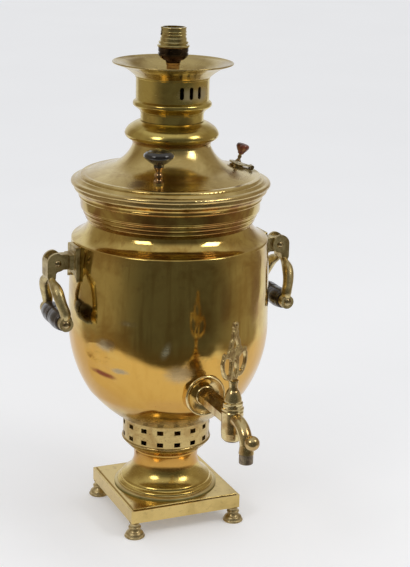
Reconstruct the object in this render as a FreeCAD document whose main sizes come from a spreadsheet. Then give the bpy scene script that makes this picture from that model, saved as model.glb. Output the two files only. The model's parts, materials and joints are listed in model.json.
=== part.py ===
"""A brass charcoal samovar that was later fitted with a bayonet lampholder.

Frame: millimetres, +Z up, origin on the samovar's own axis at floor level.
The tap points along -Y and the two drop handles hang at +X and -X.
Every size lives in the sheet, and each outline corner is tied to it.
"""
import FreeCAD, Part
import math
import os
import Sketcher

Vector = FreeCAD.Vector
Rotation = FreeCAD.Rotation
Placement = FreeCAD.Placement
UP = Vector(0, 0, 1)

# How far an arc swells, as the tangent of a quarter of its turn
FLAT = 0.03
SLIGHT = 0.09
SOFT = 0.2
FULL = 0.33
QUARTER = math.tan(math.radians(22.5))

# Radius of the flat in the middle of a dome
TIP = 0.4

# Driving sizes in millimetres and degrees
GIVEN = (
    ("foot_height", 17.5),
    ("foot_radius", 11.4),
    ("foot_spacing", 118.8),
    ("foot_shank_radius", 3.5),
    ("base_side", 130.0),
    ("base_skirt_height", 14.6),
    ("base_panel_side", 124.0),
    ("base_panel_rise", 1.4),
    ("base_wall", 1.5),
    ("sheet_wall", 1.3),
    ("pedestal_height", 44.5),
    ("pedestal_flange_radius", 58.0),
    ("pedestal_waist_radius", 36.0),
    ("pedestal_top_radius", 37.8),
    ("gallery_height", 39.5),
    ("gallery_radius", 49.0),
    ("gallery_ledge_radius", 44.0),
    ("gallery_hole_width", 7.0),
    ("gallery_hole_height", 5.0),
    ("gallery_hole_count", 16.0),
    ("gallery_lower_row", 18.0),
    ("gallery_upper_row", 32.0),
    ("gallery_turn", -7.25),
    ("bowl_bottom_radius", 51.5),
    ("bowl_haunch_radius", 89.9),
    ("bowl_haunch_height", 35.0),
    ("bowl_radius", 110.4),
    ("bowl_belly_height", 114.5),
    ("bowl_shoulder_radius", 106.8),
    ("bowl_shoulder_height", 206.2),
    ("bowl_cove_height", 17.3),
    ("neck_radius", 89.1),
    ("grate_opening_radius", 38.0),
    ("grate_thickness", 3.5),
    ("grate_slot_width", 4.5),
    ("grate_slot_length", 46.0),
    ("grate_slot_pitch", 9.0),
    ("tube_foot_radius", 42.5),
    ("tube_radius", 31.5),
    ("tube_taper_height", 180.0),
    ("tube_height", 343.0),
    ("tube_wall", 1.2),
    ("cornice_height", 40.0),
    ("cornice_band_radius", 97.5),
    ("cornice_radius", 104.6),
    ("cornice_mouth_radius", 94.0),
    ("seat_gap", 0.3),
    ("lid_radius", 107.8),
    ("lid_height", 49.7),
    ("lid_bead_radius", 97.4),
    ("lid_cone_radius", 92.0),
    ("lid_cone_height", 11.9),
    ("lid_cove_radius", 68.3),
    ("lid_cove_height", 18.9),
    ("lid_neck_radius", 42.0),
    ("lid_lip_radius", 45.6),
    ("lid_skirt_clearance", 0.8),
    ("lid_skirt_depth", 9.5),
    ("lid_ring_radius", 50.6),
    ("lid_ring_height", 19.5),
    ("lid_ring_top_radius", 34.8),
    ("knob_circle_radius", 79.0),
    ("knob_angle", -31.4),
    ("knob_height", 35.0),
    ("knob_radius", 15.8),
    ("knob_stem_height", 16.0),
    ("knob_stem_radius", 5.4),
    ("knob_bolt_radius", 2.0),
    ("vent_angle", 80.0),
    ("vent_circle_radius", 73.0),
    ("vent_flap_radius", 9.6),
    ("vent_flap_thickness", 1.8),
    ("vent_seat_radius", 8.2),
    ("vent_seat_height", 2.6),
    ("vent_bore_radius", 5.0),
    ("vent_hinge_reach", 16.5),
    ("vent_hinge_height", 3.6),
    ("vent_ear_half_width", 4.2),
    ("vent_tongue_half_width", 2.2),
    ("vent_pin_radius", 1.0),
    ("vent_knob_radius", 7.2),
    ("crown_height", 46.7),
    ("crown_sleeve_radius", 33.7),
    ("crown_sleeve_height", 8.0),
    ("crown_bead_radius", 42.2),
    ("crown_radius", 39.1),
    ("crown_slot_width", 4.6),
    ("crown_slot_height", 13.0),
    ("crown_slot_rise", 26.6),
    ("crown_slot_pitch", 15.7),
    ("crown_slot_angle", 8.2),
    ("dish_radius", 64.4),
    ("dish_height", 15.2),
    ("dish_spigot_depth", 5.0),
    ("lamp_plate_thickness", 1.7),
    ("lamp_tube_radius", 5.0),
    ("lamp_tube_bore", 3.6),
    ("lamp_stem_radius", 6.9),
    ("lamp_stem_height", 19.0),
    ("lamp_nut_flats", 14.0),
    ("lamp_nut_thickness", 3.0),
    ("holder_cap_radius", 16.1),
    ("holder_cap_height", 16.4),
    ("shade_ring_radius", 17.2),
    ("shade_ring_thickness", 2.2),
    ("shade_nut_radius", 15.8),
    ("holder_skirt_radius", 14.1),
    ("holder_skirt_height", 10.1),
    ("holder_barrel_radius", 13.4),
    ("holder_barrel_height", 11.0),
    ("socket_radius", 11.2),
    ("plunger_radius", 2.0),
    ("plunger_spacing", 9.6),
    ("plunger_height", 7.0),
    ("plunger_proud", 3.6),
    ("block_radius", 11.7),
    ("block_height", 10.7),
    ("block_drop", 4.5),
    ("spring_length", 5.8),
    ("thread_clearance", 0.1),
    ("running_clearance", 0.06),
    ("tap_height", 175.0),
    ("tap_reach", 176.5),
    ("escutcheon_radius", 22.5),
    ("escutcheon_proud", 13.298113),
    ("tap_shank_radius", 8.0),
    ("tap_shank_inside", 82.0),
    ("tap_barrel_radius", 10.4),
    ("tap_housing_radius", 11.2),
    ("tap_housing_below", 22.0),
    ("tap_housing_above", 15.5),
    ("plug_top_radius", 6.9),
    ("plug_bottom_radius", 5.6),
    ("plug_vase_radius", 8.3),
    ("plug_collar_radius", 5.2),
    ("plug_stem_height", 25.5),
    ("water_bore_radius", 4.0),
    ("spout_radius", 6.8),
    ("spout_mouth_radius", 7.8),
    ("spout_reach", 35.5),
    ("spout_bend_radius", 22.0),
    ("spout_rise", 2.0),
    ("spout_end_below", 24.0),
    ("nozzle_radius", 7.2),
    ("nozzle_bore", 5.0),
    ("nozzle_length", 10.5),
    ("finial_radius", 7.6),
    ("key_angle", 31.2),
    ("key_height", 62.0),
    ("key_half_width", 21.9),
    ("key_thickness", 3.4),
    ("backing_face", 88.0),
    ("backing_radius", 15.0),
    ("tap_nut_flats", 24.0),
    ("tap_nut_thickness", 5.5),
    ("plug_washer_radius", 8.0),
    ("plug_screw_radius", 1.5),
    ("pivot_reach", 130.5),
    ("pivot_height", 304.5),
    ("pivot_pin_radius", 2.4),
    ("knuckle_radius", 8.4),
    ("knuckle_half_width", 6.0),
    ("ear_radius", 8.9),
    ("yoke_half_width", 9.7),
    ("yoke_reach", 11.6),
    ("bracket_half_width", 9.6),
    ("bracket_height", 16.6),
    ("shield_half_width", 16.0),
    ("shield_bottom", 283.0),
    ("shield_top", 321.5),
    ("shield_front", 112.4),
    ("grip_reach", 129.6),
    ("grip_height", 244.3),
    ("grip_radius", 11.0),
    ("grip_half_length", 26.0),
    ("grip_boss_radius", 7.6),
    ("grip_boss_length", 9.0),
    ("grip_rod_radius", 3.0),
)


class Size:
    """A length known as a number and as the sheet expression that gives it."""

    def __init__(self, value, text):
        self.value = float(value)
        self.text = text

    def __add__(self, other):
        other = sized(other)
        return Size(self.value + other.value, f"({self.text} + {other.text})")

    def __sub__(self, other):
        other = sized(other)
        return Size(self.value - other.value, f"({self.text} - {other.text})")

    def __mul__(self, other):
        other = sized(other)
        return Size(self.value * other.value, f"({self.text} * {other.text})")

    def __truediv__(self, other):
        other = sized(other)
        return Size(self.value / other.value, f"({self.text} / {other.text})")

    def __neg__(self):
        return Size(-self.value, f"(0 - {self.text})")

    def __radd__(self, other):
        return sized(other) + self

    def __rsub__(self, other):
        return sized(other) - self

    def __rmul__(self, other):
        return sized(other) * self


def sized(number):
    """Take a plain number or a Size and return a Size."""
    if isinstance(number, Size):
        return number
    return Size(number, f"{number:.6g}")


def root_of_squares(side_a, side_b):
    """Return the length of the diagonal over two sides."""
    total = side_a * side_a + side_b * side_b
    return Size(math.sqrt(total.value), f"sqrt({total.text})")


class Sheet:
    """The spreadsheet of sizes, read by alias as attributes."""

    def __init__(self, document):
        self.page = document.addObject("Spreadsheet::Sheet", "Sizes")
        self.known = {}
        self.row = 0

    def write(self, alias, value, content):
        """Fill the next row and return the Size that names it."""
        self.row += 1
        self.page.set(f"A{self.row}", alias.replace("_", " "))
        self.page.set(f"B{self.row}", content)
        self.page.setAlias(f"B{self.row}", alias)
        self.known[alias] = Size(value, f"Sizes.{alias}")
        return self.known[alias]

    def derive(self, alias, size):
        """Add a cell worked out from other cells."""
        return self.write(alias, size.value, "=" + size.text.replace("Sizes.", ""))

    def __getattr__(self, alias):
        return self.known[alias]


doc = FreeCAD.newDocument("samovar")
dim = Sheet(doc)
for cell_alias, cell_value in GIVEN:
    dim.write(cell_alias, cell_value, str(cell_value))

# Heights of the seams between the stacked pieces, from the floor up
dim.derive("base_top", dim.foot_height + dim.base_skirt_height + dim.base_panel_rise)
dim.derive("pedestal_top", dim.base_top + dim.pedestal_height)
dim.derive("gallery_top", dim.pedestal_top + dim.gallery_height)
dim.derive("floor_top", dim.gallery_top + dim.sheet_wall)
dim.derive("shoulder_level", dim.gallery_top + dim.bowl_shoulder_height)
# The tap's escutcheon stands proud of the belly's slope at the tap's own height
dim.derive("escutcheon_front", dim.bowl_haunch_radius + dim.escutcheon_proud
           + (dim.bowl_radius - dim.bowl_haunch_radius)
           * (dim.tap_height - dim.gallery_top - dim.bowl_haunch_height)
           / (dim.bowl_belly_height - dim.bowl_haunch_height))
dim.derive("neck_top", dim.shoulder_level + dim.bowl_cove_height)
dim.derive("cornice_top", dim.neck_top + dim.cornice_height)
dim.derive("lid_level", dim.cornice_top + dim.seat_gap)
dim.derive("lid_top", dim.lid_level + dim.lid_height)
dim.derive("ring_top", dim.lid_top + dim.lid_ring_height)
dim.derive("crown_level", dim.ring_top + dim.seat_gap)
dim.derive("crown_top", dim.crown_level + dim.crown_height)
dim.derive("dish_top", dim.crown_top + dim.dish_height)
dim.derive("plate_top", dim.crown_top - dim.dish_spigot_depth)
dim.derive("stem_top", dim.plate_top + dim.lamp_stem_height)
dim.derive("cap_top", dim.stem_top + dim.holder_cap_height)
dim.derive("skirt_top", dim.cap_top + dim.holder_skirt_height)
dim.derive("holder_top", dim.skirt_top + dim.holder_barrel_height)
doc.recompute()

pieces = []


def origin_plane(body, role):
    """Return one of the body's own origin planes or axes."""
    for feature in body.Origin.OriginFeatures:
        if feature.Role == role:
            return feature
    raise ValueError(f"{body.Label} has no {role}")


def bind(thing, path, size):
    """Tie a property to the sheet, unless the size is a plain number."""
    if "Sizes." in size.text:
        thing.setExpression(path, size.text)


def new_body(label, keep=True):
    """Start a sub-part; the ones kept are written out as files."""
    body = doc.addObject("PartDesign::Body", label)
    body.Label = label
    if keep:
        pieces.append(body)
    return body


def place(thing, at, turn=None):
    """Put a sub-part at three sizes, with an optional rotation."""
    at = [sized(size) for size in at]
    turn = turn or Rotation()
    thing.Placement = Placement(Vector(*[size.value for size in at]), turn)
    for axis, size in zip("xyz", at):
        bind(thing, f"Placement.Base.{axis}", size)
    return thing


def shift(feature, at, turn=None):
    """Offset an attached sketch or primitive inside its body."""
    at = [sized(size) for size in at]
    turn = turn or Rotation()
    feature.AttachmentOffset = Placement(Vector(*[size.value for size in at]), turn)
    for axis, size in zip("xyz", at):
        bind(feature, f"AttachmentOffset.Base.{axis}", size)


def dome(radius, rise):
    """Return the bow of an arc that arrives level at a small flat on the axis."""
    reach = sized(radius).value - TIP
    return math.tan(math.atan2(sized(rise).value, reach) / 2)


def sketch_on(body, role, *loops):
    """Add a sketch on an origin plane and draw closed loops in it."""
    sketch = body.newObject("Sketcher::SketchObject", f"{body.Label}_sketch")
    sketch.AttachmentSupport = [(origin_plane(body, role), "")]
    sketch.MapMode = "FlatFace"
    for loop in loops:
        draw(sketch, loop)
    return sketch


def pin_point(sketch, edge, end, x, y):
    """Hold one end of an edge at a place given from the sketch's origin."""
    for kind, axis, size in (("DistanceX", -2, x), ("DistanceY", -1, y)):
        if size.text == "0":
            sketch.addConstraint(Sketcher.Constraint("PointOnObject", edge, end, axis))
            continue
        index = sketch.addConstraint(Sketcher.Constraint(kind, edge, end, size.value))
        bind(sketch, f"Constraints[{index}]", size)


def draw(sketch, loop):
    """Draw a closed loop of lines and arcs.

    A corner is (x, y) or (x, y, bow): the edge that arrives there swells to the
    right of its direction by bow half-chords, or to the left if bow is negative.
    """
    corners = [(sized(c[0]), sized(c[1]), c[2] if len(c) > 2 else 0) for c in loop]
    ends = []
    for index, (x1, y1, bow) in enumerate(corners):
        x0, y0, _ = corners[index - 1]
        start = Vector(x0.value, y0.value, 0)
        finish = Vector(x1.value, y1.value, 0)
        if not bow:
            edge = sketch.addGeometry(Part.LineSegment(start, finish), False)
            ends.append((edge, 1, 2))
            continue
        edge = sketch.addGeometry(bowed_arc(start, finish, bow), False)
        ends.append((edge, 1, 2) if bow > 0 else (edge, 2, 1))
        chord = root_of_squares(x1 - x0, y1 - y0)
        radius = chord * ((1 + bow * bow) / (4 * abs(bow)))
        rule = sketch.addConstraint(Sketcher.Constraint("Radius", edge, radius.value))
        bind(sketch, f"Constraints[{rule}]", radius)
    for index, (x, y, _) in enumerate(corners):
        edge, _, arrival = ends[index]
        after, departure, _ = ends[(index + 1) % len(ends)]
        joint = Sketcher.Constraint("Coincident", edge, arrival, after, departure)
        sketch.addConstraint(joint)
        pin_point(sketch, edge, arrival, x, y)


def bowed_arc(start, finish, bow):
    """Return the arc between two points that swells by bow half-chords."""
    chord = finish - start
    length = chord.Length
    right = Vector(chord.y, -chord.x, 0) * (1 / length)
    radius = length * (1 + bow * bow) / (4 * abs(bow))
    depth = radius - abs(bow) * length / 2
    side = 1 if bow > 0 else -1
    centre = (start + finish) * 0.5 - right * (side * depth)
    first, last = (start, finish) if bow > 0 else (finish, start)
    begin = math.atan2(first.y - centre.y, first.x - centre.x)
    end = math.atan2(last.y - centre.y, last.x - centre.x)
    if end < begin:
        end += 2 * math.pi
    return Part.ArcOfCircle(Part.Circle(centre, UP, radius), begin, end)


def circle_in(sketch, x, y, radius):
    """Draw a full circle tied to its centre and radius."""
    x, y, radius = sized(x), sized(y), sized(radius)
    ring = Part.Circle(Vector(x.value, y.value, 0), UP, radius.value)
    edge = sketch.addGeometry(ring, False)
    rule = sketch.addConstraint(Sketcher.Constraint("Radius", edge, radius.value))
    bind(sketch, f"Constraints[{rule}]", radius)
    pin_point(sketch, edge, 3, x, y)


def revolve(body, sketch, kind="Revolution"):
    """Spin a sketch about its own vertical axis."""
    spin = body.newObject(f"PartDesign::{kind}", f"{body.Label}_{kind.lower()}")
    spin.Profile = sketch
    spin.ReferenceAxis = (sketch, ["V_Axis"])
    spin.Angle = 360
    body.Tip = spin
    return spin


def turned(label, loop, keep=True):
    """Make a sub-part of revolution about Z from radius and height corners."""
    body = new_body(label, keep)
    revolve(body, sketch_on(body, "XZ_Plane", loop))
    return body


def extrude(body, sketch, length, kind="Pad", both_ways=False, reverse=False):
    """Pad or pocket a sketch by a length."""
    length = sized(length)
    feature = body.newObject(f"PartDesign::{kind}", f"{body.Label}_{kind.lower()}")
    feature.Profile = sketch
    feature.Length = length.value
    bind(feature, "Length", length)
    feature.Midplane = both_ways
    feature.Reversed = reverse
    body.Tip = feature
    return feature


def primitive(body, kind, at, turn=None, **sizes):
    """Add or take away a sphere, cone, cylinder or the like."""
    feature = body.newObject(f"PartDesign::{kind}", f"{body.Label}_{kind.lower()}")
    feature.AttachmentSupport = [(origin_plane(body, "XY_Plane"), "")]
    feature.MapMode = "FlatFace"
    shift(feature, at, turn)
    for name, size in sizes.items():
        size = sized(size)
        setattr(feature, name, size.value)
        bind(feature, name, size)
    body.Tip = feature
    return feature


def around(body, feature, count, angle):
    """Repeat a feature about Z over an angle."""
    pattern = body.newObject("PartDesign::PolarPattern", f"{body.Label}_pattern")
    pattern.Originals = [feature]
    pattern.Axis = (origin_plane(body, "Z_Axis"), [""])
    pattern.Angle = angle
    pattern.Occurrences = count
    body.Tip = pattern
    return pattern


def rounded(body, radius, wanted, kind="Fillet"):
    """Round or bevel the edges of the tip that a test picks."""
    doc.recompute()
    radius = sized(radius)
    tip = body.Tip
    names = [f"Edge{n + 1}" for n, edge in enumerate(tip.Shape.Edges) if wanted(edge)]
    feature = body.newObject(f"PartDesign::{kind}", f"{body.Label}_{kind.lower()}")
    feature.Base = (tip, names)
    key = "Radius" if kind == "Fillet" else "Size"
    setattr(feature, key, radius.value)
    bind(feature, key, radius)
    body.Tip = feature
    return feature


def box_loop(half_x, low_y, high_y):
    """Return a rectangle centred on the sketch's vertical axis."""
    return [(-half_x, low_y), (half_x, low_y), (half_x, high_y), (-half_x, high_y)]


def square_loop(side):
    """Return a square about the sketch's origin."""
    half = side / 2
    return box_loop(half, -half, half)


def polygon_loop(count, flats):
    """Return a regular polygon of a width across flats."""
    radius = flats * (0.5 / math.cos(math.pi / count))
    turns = [2 * math.pi * (step + 0.5) / count for step in range(count)]
    return [(radius * math.cos(turn), radius * math.sin(turn)) for turn in turns]


def boolean(label, kind, base, tool):
    """Cut or intersect two shapes into a kept sub-part."""
    result = doc.addObject(f"Part::{kind}", label)
    result.Label = label
    result.Base = base
    result.Tool = tool
    pieces.append(result)
    return result


def toward(angle):
    """Return the unit direction at an angle from -Y towards +X."""
    turn = math.radians(angle)
    return math.sin(turn), -math.cos(turn)


# Base: four turned feet under a hollow square tray

def make_feet():
    """Bell-shaped feet, each with a shank soldered up inside the tray."""
    tray_depth = dim.base_skirt_height - dim.base_wall
    foot = [
        (0, 0), (dim.foot_radius - 0.9, 0), (dim.foot_radius, 1.2, SOFT),
        (dim.foot_radius - 0.9, 2.6, SOFT), (dim.foot_radius * 0.72, 6.6, SOFT),
        (dim.foot_radius * 0.66, 7.1), (dim.foot_radius * 0.5, dim.foot_height * 0.58, -SLIGHT),
        (dim.foot_radius * 0.62, dim.foot_height * 0.65, FULL),
        (dim.foot_radius * 0.5, dim.foot_height * 0.74, FULL),
        (dim.foot_radius * 0.45, dim.foot_height * 0.9, -SLIGHT),
        (dim.foot_radius * 0.54, dim.foot_height), (dim.foot_shank_radius, dim.foot_height),
        (dim.foot_shank_radius, dim.foot_height + tray_depth),
        (0, dim.foot_height + tray_depth),
    ]
    corners = {"front_left": (-1, -1), "front_right": (1, -1),
               "rear_left": (-1, 1), "rear_right": (1, 1)}
    for name, (side_x, side_y) in corners.items():
        body = turned(f"foot_{name}", foot)
        half = dim.foot_spacing / 2
        place(body, (half * side_x, half * side_y, 0))


def make_base_plate():
    """Square tray, open below, with a raised panel on top."""
    body = new_body("base_plate")
    extrude(body, sketch_on(body, "XY_Plane", square_loop(dim.base_side)), dim.base_skirt_height)
    rounded(body, 1.4, lambda edge: edge.Length < 20)
    panel = sketch_on(body, "XY_Plane", square_loop(dim.base_panel_side))
    shift(panel, (0, 0, dim.base_skirt_height))
    extrude(body, panel, dim.base_panel_rise)
    top = (dim.base_skirt_height + dim.base_panel_rise).value
    rounded(body, 0.8, lambda edge: edge.BoundBox.ZMin > top - 0.01, "Chamfer")
    hollow = sketch_on(body, "XY_Plane", square_loop(dim.base_side - dim.base_wall * 2))
    extrude(body, hollow, dim.base_skirt_height - dim.base_wall, "Pocket", reverse=True)
    place(body, (0, 0, dim.foot_height))


def make_pedestal():
    """Spun foot: stepped flange, bell and waist."""
    flange = dim.pedestal_flange_radius
    waist = dim.pedestal_waist_radius
    top = dim.pedestal_height
    wall = dim.sheet_wall
    neck = dim.pedestal_top_radius
    body = turned("pedestal", [
        (flange, 0), (flange, 1.5), (flange - 3.4, 3.0, SOFT), (flange - 4.8, 6.3, FULL),
        (flange - 6.6, 7.4), (flange - 8.0, 11.0, SOFT), (flange - 9.8, 12.1),
        (waist, top - 10.5, -0.26), (neck, top - 1.0, -SLIGHT), (neck, top),
        (neck - wall, top), (neck - wall, top - 1.0),
        (waist - wall, top - 10.5, SLIGHT), (flange - 11.3, 11.4, 0.26),
        (flange - 6.6, 4.0), (flange - 1.5, 1.2), (flange - 1.5, 0),
    ])
    place(body, (0, 0, dim.base_top))


def make_gallery_ring():
    """Pierced draught ring under the bowl, two rows of air holes."""
    radius = dim.gallery_radius
    wall = dim.sheet_wall
    foot = dim.pedestal_top_radius
    top = dim.gallery_height
    body = turned("gallery_ring", [
        (foot, 0), (radius + 0.4, 11.0, SLIGHT), (radius + 1.3, 12.4, SOFT),
        (radius, 13.8, SOFT), (radius, top - 3.6), (radius + 1.2, top, -SLIGHT),
        (dim.gallery_ledge_radius, top), (dim.gallery_ledge_radius, top - wall),
        (radius - wall, top - wall), (radius - wall, 12.6), (foot - wall, wall),
        (foot - wall, 0),
    ])
    half = dim.gallery_hole_width / 2
    tall = dim.gallery_hole_height / 2
    rows = [box_loop(half, row - tall, row + tall)
            for row in (dim.gallery_lower_row, dim.gallery_upper_row)]
    through = extrude(body, sketch_on(body, "XZ_Plane", *rows), radius * 2.2, "Pocket", True)
    pairs = int(dim.gallery_hole_count.value) // 2
    around(body, through, pairs, 180.0 - 180.0 / pairs)
    place(body, (0, 0, dim.pedestal_top), Rotation(UP, dim.gallery_turn.value))


def bowl_side(inset):
    """Return the bowl's corners from the fire opening to the neck, moved in by inset."""
    low = dim.gallery_top
    steep = inset * 0.7
    return [
        (dim.bowl_bottom_radius - inset * 0.4, low + inset),
        (dim.bowl_haunch_radius - steep, low + dim.bowl_haunch_height + steep, 0.088),
        (dim.bowl_radius - inset, low + dim.bowl_belly_height, 0.149),
        (dim.bowl_shoulder_radius + 0.5 - inset, dim.shoulder_level - 2.0 - inset * 0.3, 0.018),
        (dim.bowl_shoulder_radius - 0.6 - inset, dim.shoulder_level + 0.2 - inset, FULL),
        (dim.neck_radius - inset, dim.neck_top, -0.26),
    ]


def make_urn_body():
    """Water vessel: one raised sheet bowl with the fire opening in its floor."""
    opening = dim.grate_opening_radius
    wall = dim.sheet_wall
    outer = bowl_side(sized(0))
    inner = bowl_side(wall)
    inside = reversed_side(inner)
    body = turned("urn_body", [(opening, dim.gallery_top)] + outer
                  + inside + [(opening, dim.floor_top)])
    primitive(body, "SubtractiveCylinder", (0, 0, dim.tap_height), Rotation(Vector(1, 0, 0), 90),
              Radius=dim.tap_shank_radius + dim.thread_clearance, Height=dim.bowl_radius * 1.2)


def reversed_side(side):
    """Walk a side the other way, with each arc swelling the same way in space."""
    path = []
    for index in range(len(side) - 1, -1, -1):
        x, y = side[index][0], side[index][1]
        if index == len(side) - 1:
            path.append((x, y))
            continue
        following = side[index + 1]
        path.append((x, y, -following[2] if len(following) > 2 else 0))
    return path


def make_urn_forms():
    """Solid forms of the bowl's outside and inside, for fitting pieces to the wall."""
    forms = []
    for name, inset in (("urn_outside", sized(0)), ("urn_inside", dim.sheet_wall)):
        side = bowl_side(inset)
        loop = [(0, side[0][1])] + side + [(0, side[-1][1])]
        forms.append(turned(name, loop, keep=False))
    return forms


def make_fire_tube():
    """Flue that stands in the water, wider at the fire."""
    wall = dim.tube_wall
    foot = dim.tube_foot_radius
    bend = dim.tube_taper_height
    body = turned("fire_tube", [
        (foot - wall, 0), (foot + 3.0, 0), (foot + 3.0, wall), (foot, wall),
        (dim.tube_radius, bend), (dim.tube_radius, dim.tube_height),
        (dim.tube_radius - wall, dim.tube_height), (dim.tube_radius - wall, bend),
    ])
    place(body, (0, 0, dim.floor_top))


def make_fire_grate():
    """Cast disc with parallel slots that drops on the bowl's floor inside the flue."""
    body = new_body("fire_grate")
    disc = sketch_on(body, "XY_Plane")
    circle_in(disc, 0, 0, dim.tube_foot_radius - dim.tube_wall - 0.5)
    extrude(body, disc, dim.grate_thickness)
    half = dim.grate_slot_length / 2
    slots = [[(offset - dim.grate_slot_width / 2, -half), (offset + dim.grate_slot_width / 2, -half),
              (offset + dim.grate_slot_width / 2, half), (offset - dim.grate_slot_width / 2, half)]
             for offset in [dim.grate_slot_pitch * step for step in range(-3, 4)]]
    extrude(body, sketch_on(body, "XY_Plane", *slots), dim.grate_thickness, "Pocket", reverse=True)
    place(body, (0, 0, dim.floor_top))


def make_cornice_ring():
    """Moulded ring on the neck that carries the lid."""
    neck = dim.neck_radius
    band = dim.cornice_band_radius
    rim = dim.cornice_radius
    top = dim.cornice_height
    wall = dim.sheet_wall
    body = turned("cornice_ring", [
        (neck, 0), (neck + 1.0, 2.5), (neck + 3.4, 6.6, FULL), (neck + 3.5, 7.6),
        (neck + 5.5, 12.0, FULL), (neck + 5.7, 13.0), (band - 0.2, 16.6, FULL),
        (band, 17.4), (band, 25.8), (band + 1.5, 26.8), (band + 1.8, 29.4, FULL),
        (rim - 3.2, 33.4, -SOFT), (rim - 2.2, 34.4), (rim, 38.2, FULL), (rim, top),
        (dim.cornice_mouth_radius, top), (dim.cornice_mouth_radius, top - wall),
        (rim - 2.4, top - wall), (rim - 3.0, 36.6), (band - 1.7, 25.0), (band - 2.1, 16.6),
        (neck - wall + 0.4, 3.0), (neck - wall, 0),
    ])
    place(body, (0, 0, dim.neck_top))


# Lid, its ring, knobs and steam vent

def lid_slope_height(radius):
    """Return the height of the lid's cone above its seat at a radius."""
    run = (dim.lid_cone_radius - radius) / (dim.lid_cone_radius - dim.lid_cove_radius)
    return dim.lid_cone_height + run * (dim.lid_cove_height - dim.lid_cone_height)


def lid_slope_angle():
    """Return the fall of the lid's cone in degrees."""
    rise = dim.lid_cove_height.value - dim.lid_cone_height.value
    return math.degrees(math.atan2(rise, dim.lid_cone_radius.value - dim.lid_cove_radius.value))


def vent_turn():
    """Return the turn that lays a flat piece on the lid's slope at +X."""
    return Rotation(Vector(0, 1, 0), lid_slope_angle())


def lid_heading():
    """Return the turn that brings the lid's own +X to the vent."""
    return Rotation(UP, dim.vent_angle.value - 90)


def make_lid_shell():
    """Spun lid with a rolled rim, a raised bead, a cone and a chimney neck."""
    rim = dim.lid_radius
    bead = dim.lid_bead_radius
    neck = dim.lid_neck_radius
    cone, cove = dim.lid_cone_radius, dim.lid_cove_radius
    low, high, top = dim.lid_cone_height, dim.lid_cove_height, dim.lid_height
    wall = dim.sheet_wall
    body = turned("lid_shell", [
        (rim - 4.2, 0), (rim - 2.6, 0), (rim, 2.6, FULL), (rim - 1.6, 5.4, FULL),
        (rim - 4.4, 6.0), (bead + 2.8, 8.4, -SLIGHT), (bead + 0.8, 8.9),
        (bead - 0.9, 11.3, FULL), (bead - 3.0, 11.8, SOFT), (cone, low),
        (cove, high), (neck, top - 6.8, -0.24), (neck, top - 4.6), (dim.lid_lip_radius, top, -SOFT),
        (neck - wall, top), (neck - wall, top - 7.0), (cove - 0.5, high - wall, 0.24),
        (cone, low - wall - 0.1), (bead + 1.9, 7.1), (rim - 4.4, 4.3), (rim - 3.8, 2.6),
    ])
    slope = math.radians(lid_slope_angle())
    vent = dim.vent_circle_radius
    start = (vent - wall * (3 * math.sin(slope)), 0, lid_slope_height(vent) - wall * (3 * math.cos(slope)))
    primitive(body, "SubtractiveCylinder", start, vent_turn(),
              Radius=dim.vent_bore_radius + wall + dim.thread_clearance, Height=wall * 6)
    for heading in (0, 180):
        x, y = knob_place(heading)
        seat = lid_slope_height(dim.knob_circle_radius)
        primitive(body, "AdditiveCylinder", (x, y, seat - wall * 2),
                  Radius=dim.knob_stem_radius + 0.4, Height=wall * 2 + 1.6)
        primitive(body, "SubtractiveCylinder", (x, y, seat - wall * 3),
                  Radius=dim.knob_bolt_radius + dim.thread_clearance, Height=wall * 6)
    place(body, (0, 0, dim.lid_level), lid_heading())


def knob_place(heading):
    """Return a knob's place in the lid's own frame, whose +X is at the vent."""
    turn = math.radians(dim.knob_angle.value - dim.vent_angle.value + heading)
    return dim.knob_circle_radius * math.cos(turn), dim.knob_circle_radius * math.sin(turn)


def make_lid_skirt():
    """Plain tube inside the cornice that keeps the lid central."""
    outer = dim.cornice_mouth_radius - dim.lid_skirt_clearance
    inner = outer - dim.tube_wall
    top = dim.lid_cone_height - dim.sheet_wall * 1.6
    body = turned("lid_skirt", [
        (inner, -dim.lid_skirt_depth), (outer, -dim.lid_skirt_depth), (outer, top), (inner, top),
    ])
    place(body, (0, 0, dim.lid_level))


def make_lid_ring():
    """Hollow bulging ring round the chimney, on the lid's neck."""
    lip, belly, crest = dim.lid_lip_radius, dim.lid_ring_radius, dim.lid_ring_top_radius
    top = dim.lid_ring_height
    wall = dim.sheet_wall
    mouth = dim.tube_radius + 1.3
    body = turned("lid_ring", [
        (lip - 4.1, 0), (lip, 0), (belly, 5.8, FULL), (belly - 6.0, top - 5.3, SOFT),
        (crest, top - 0.3, SLIGHT), (crest, top), (mouth, top), (mouth, top - wall),
        (crest - 0.4, top - wall - 0.2), (belly - 7.0, top - 6.4, -SLIGHT),
        (belly - wall, 6.0, -SOFT), (lip, wall, -FULL), (lip - 4.1, wall),
    ])
    place(body, (0, 0, dim.lid_top))


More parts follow.
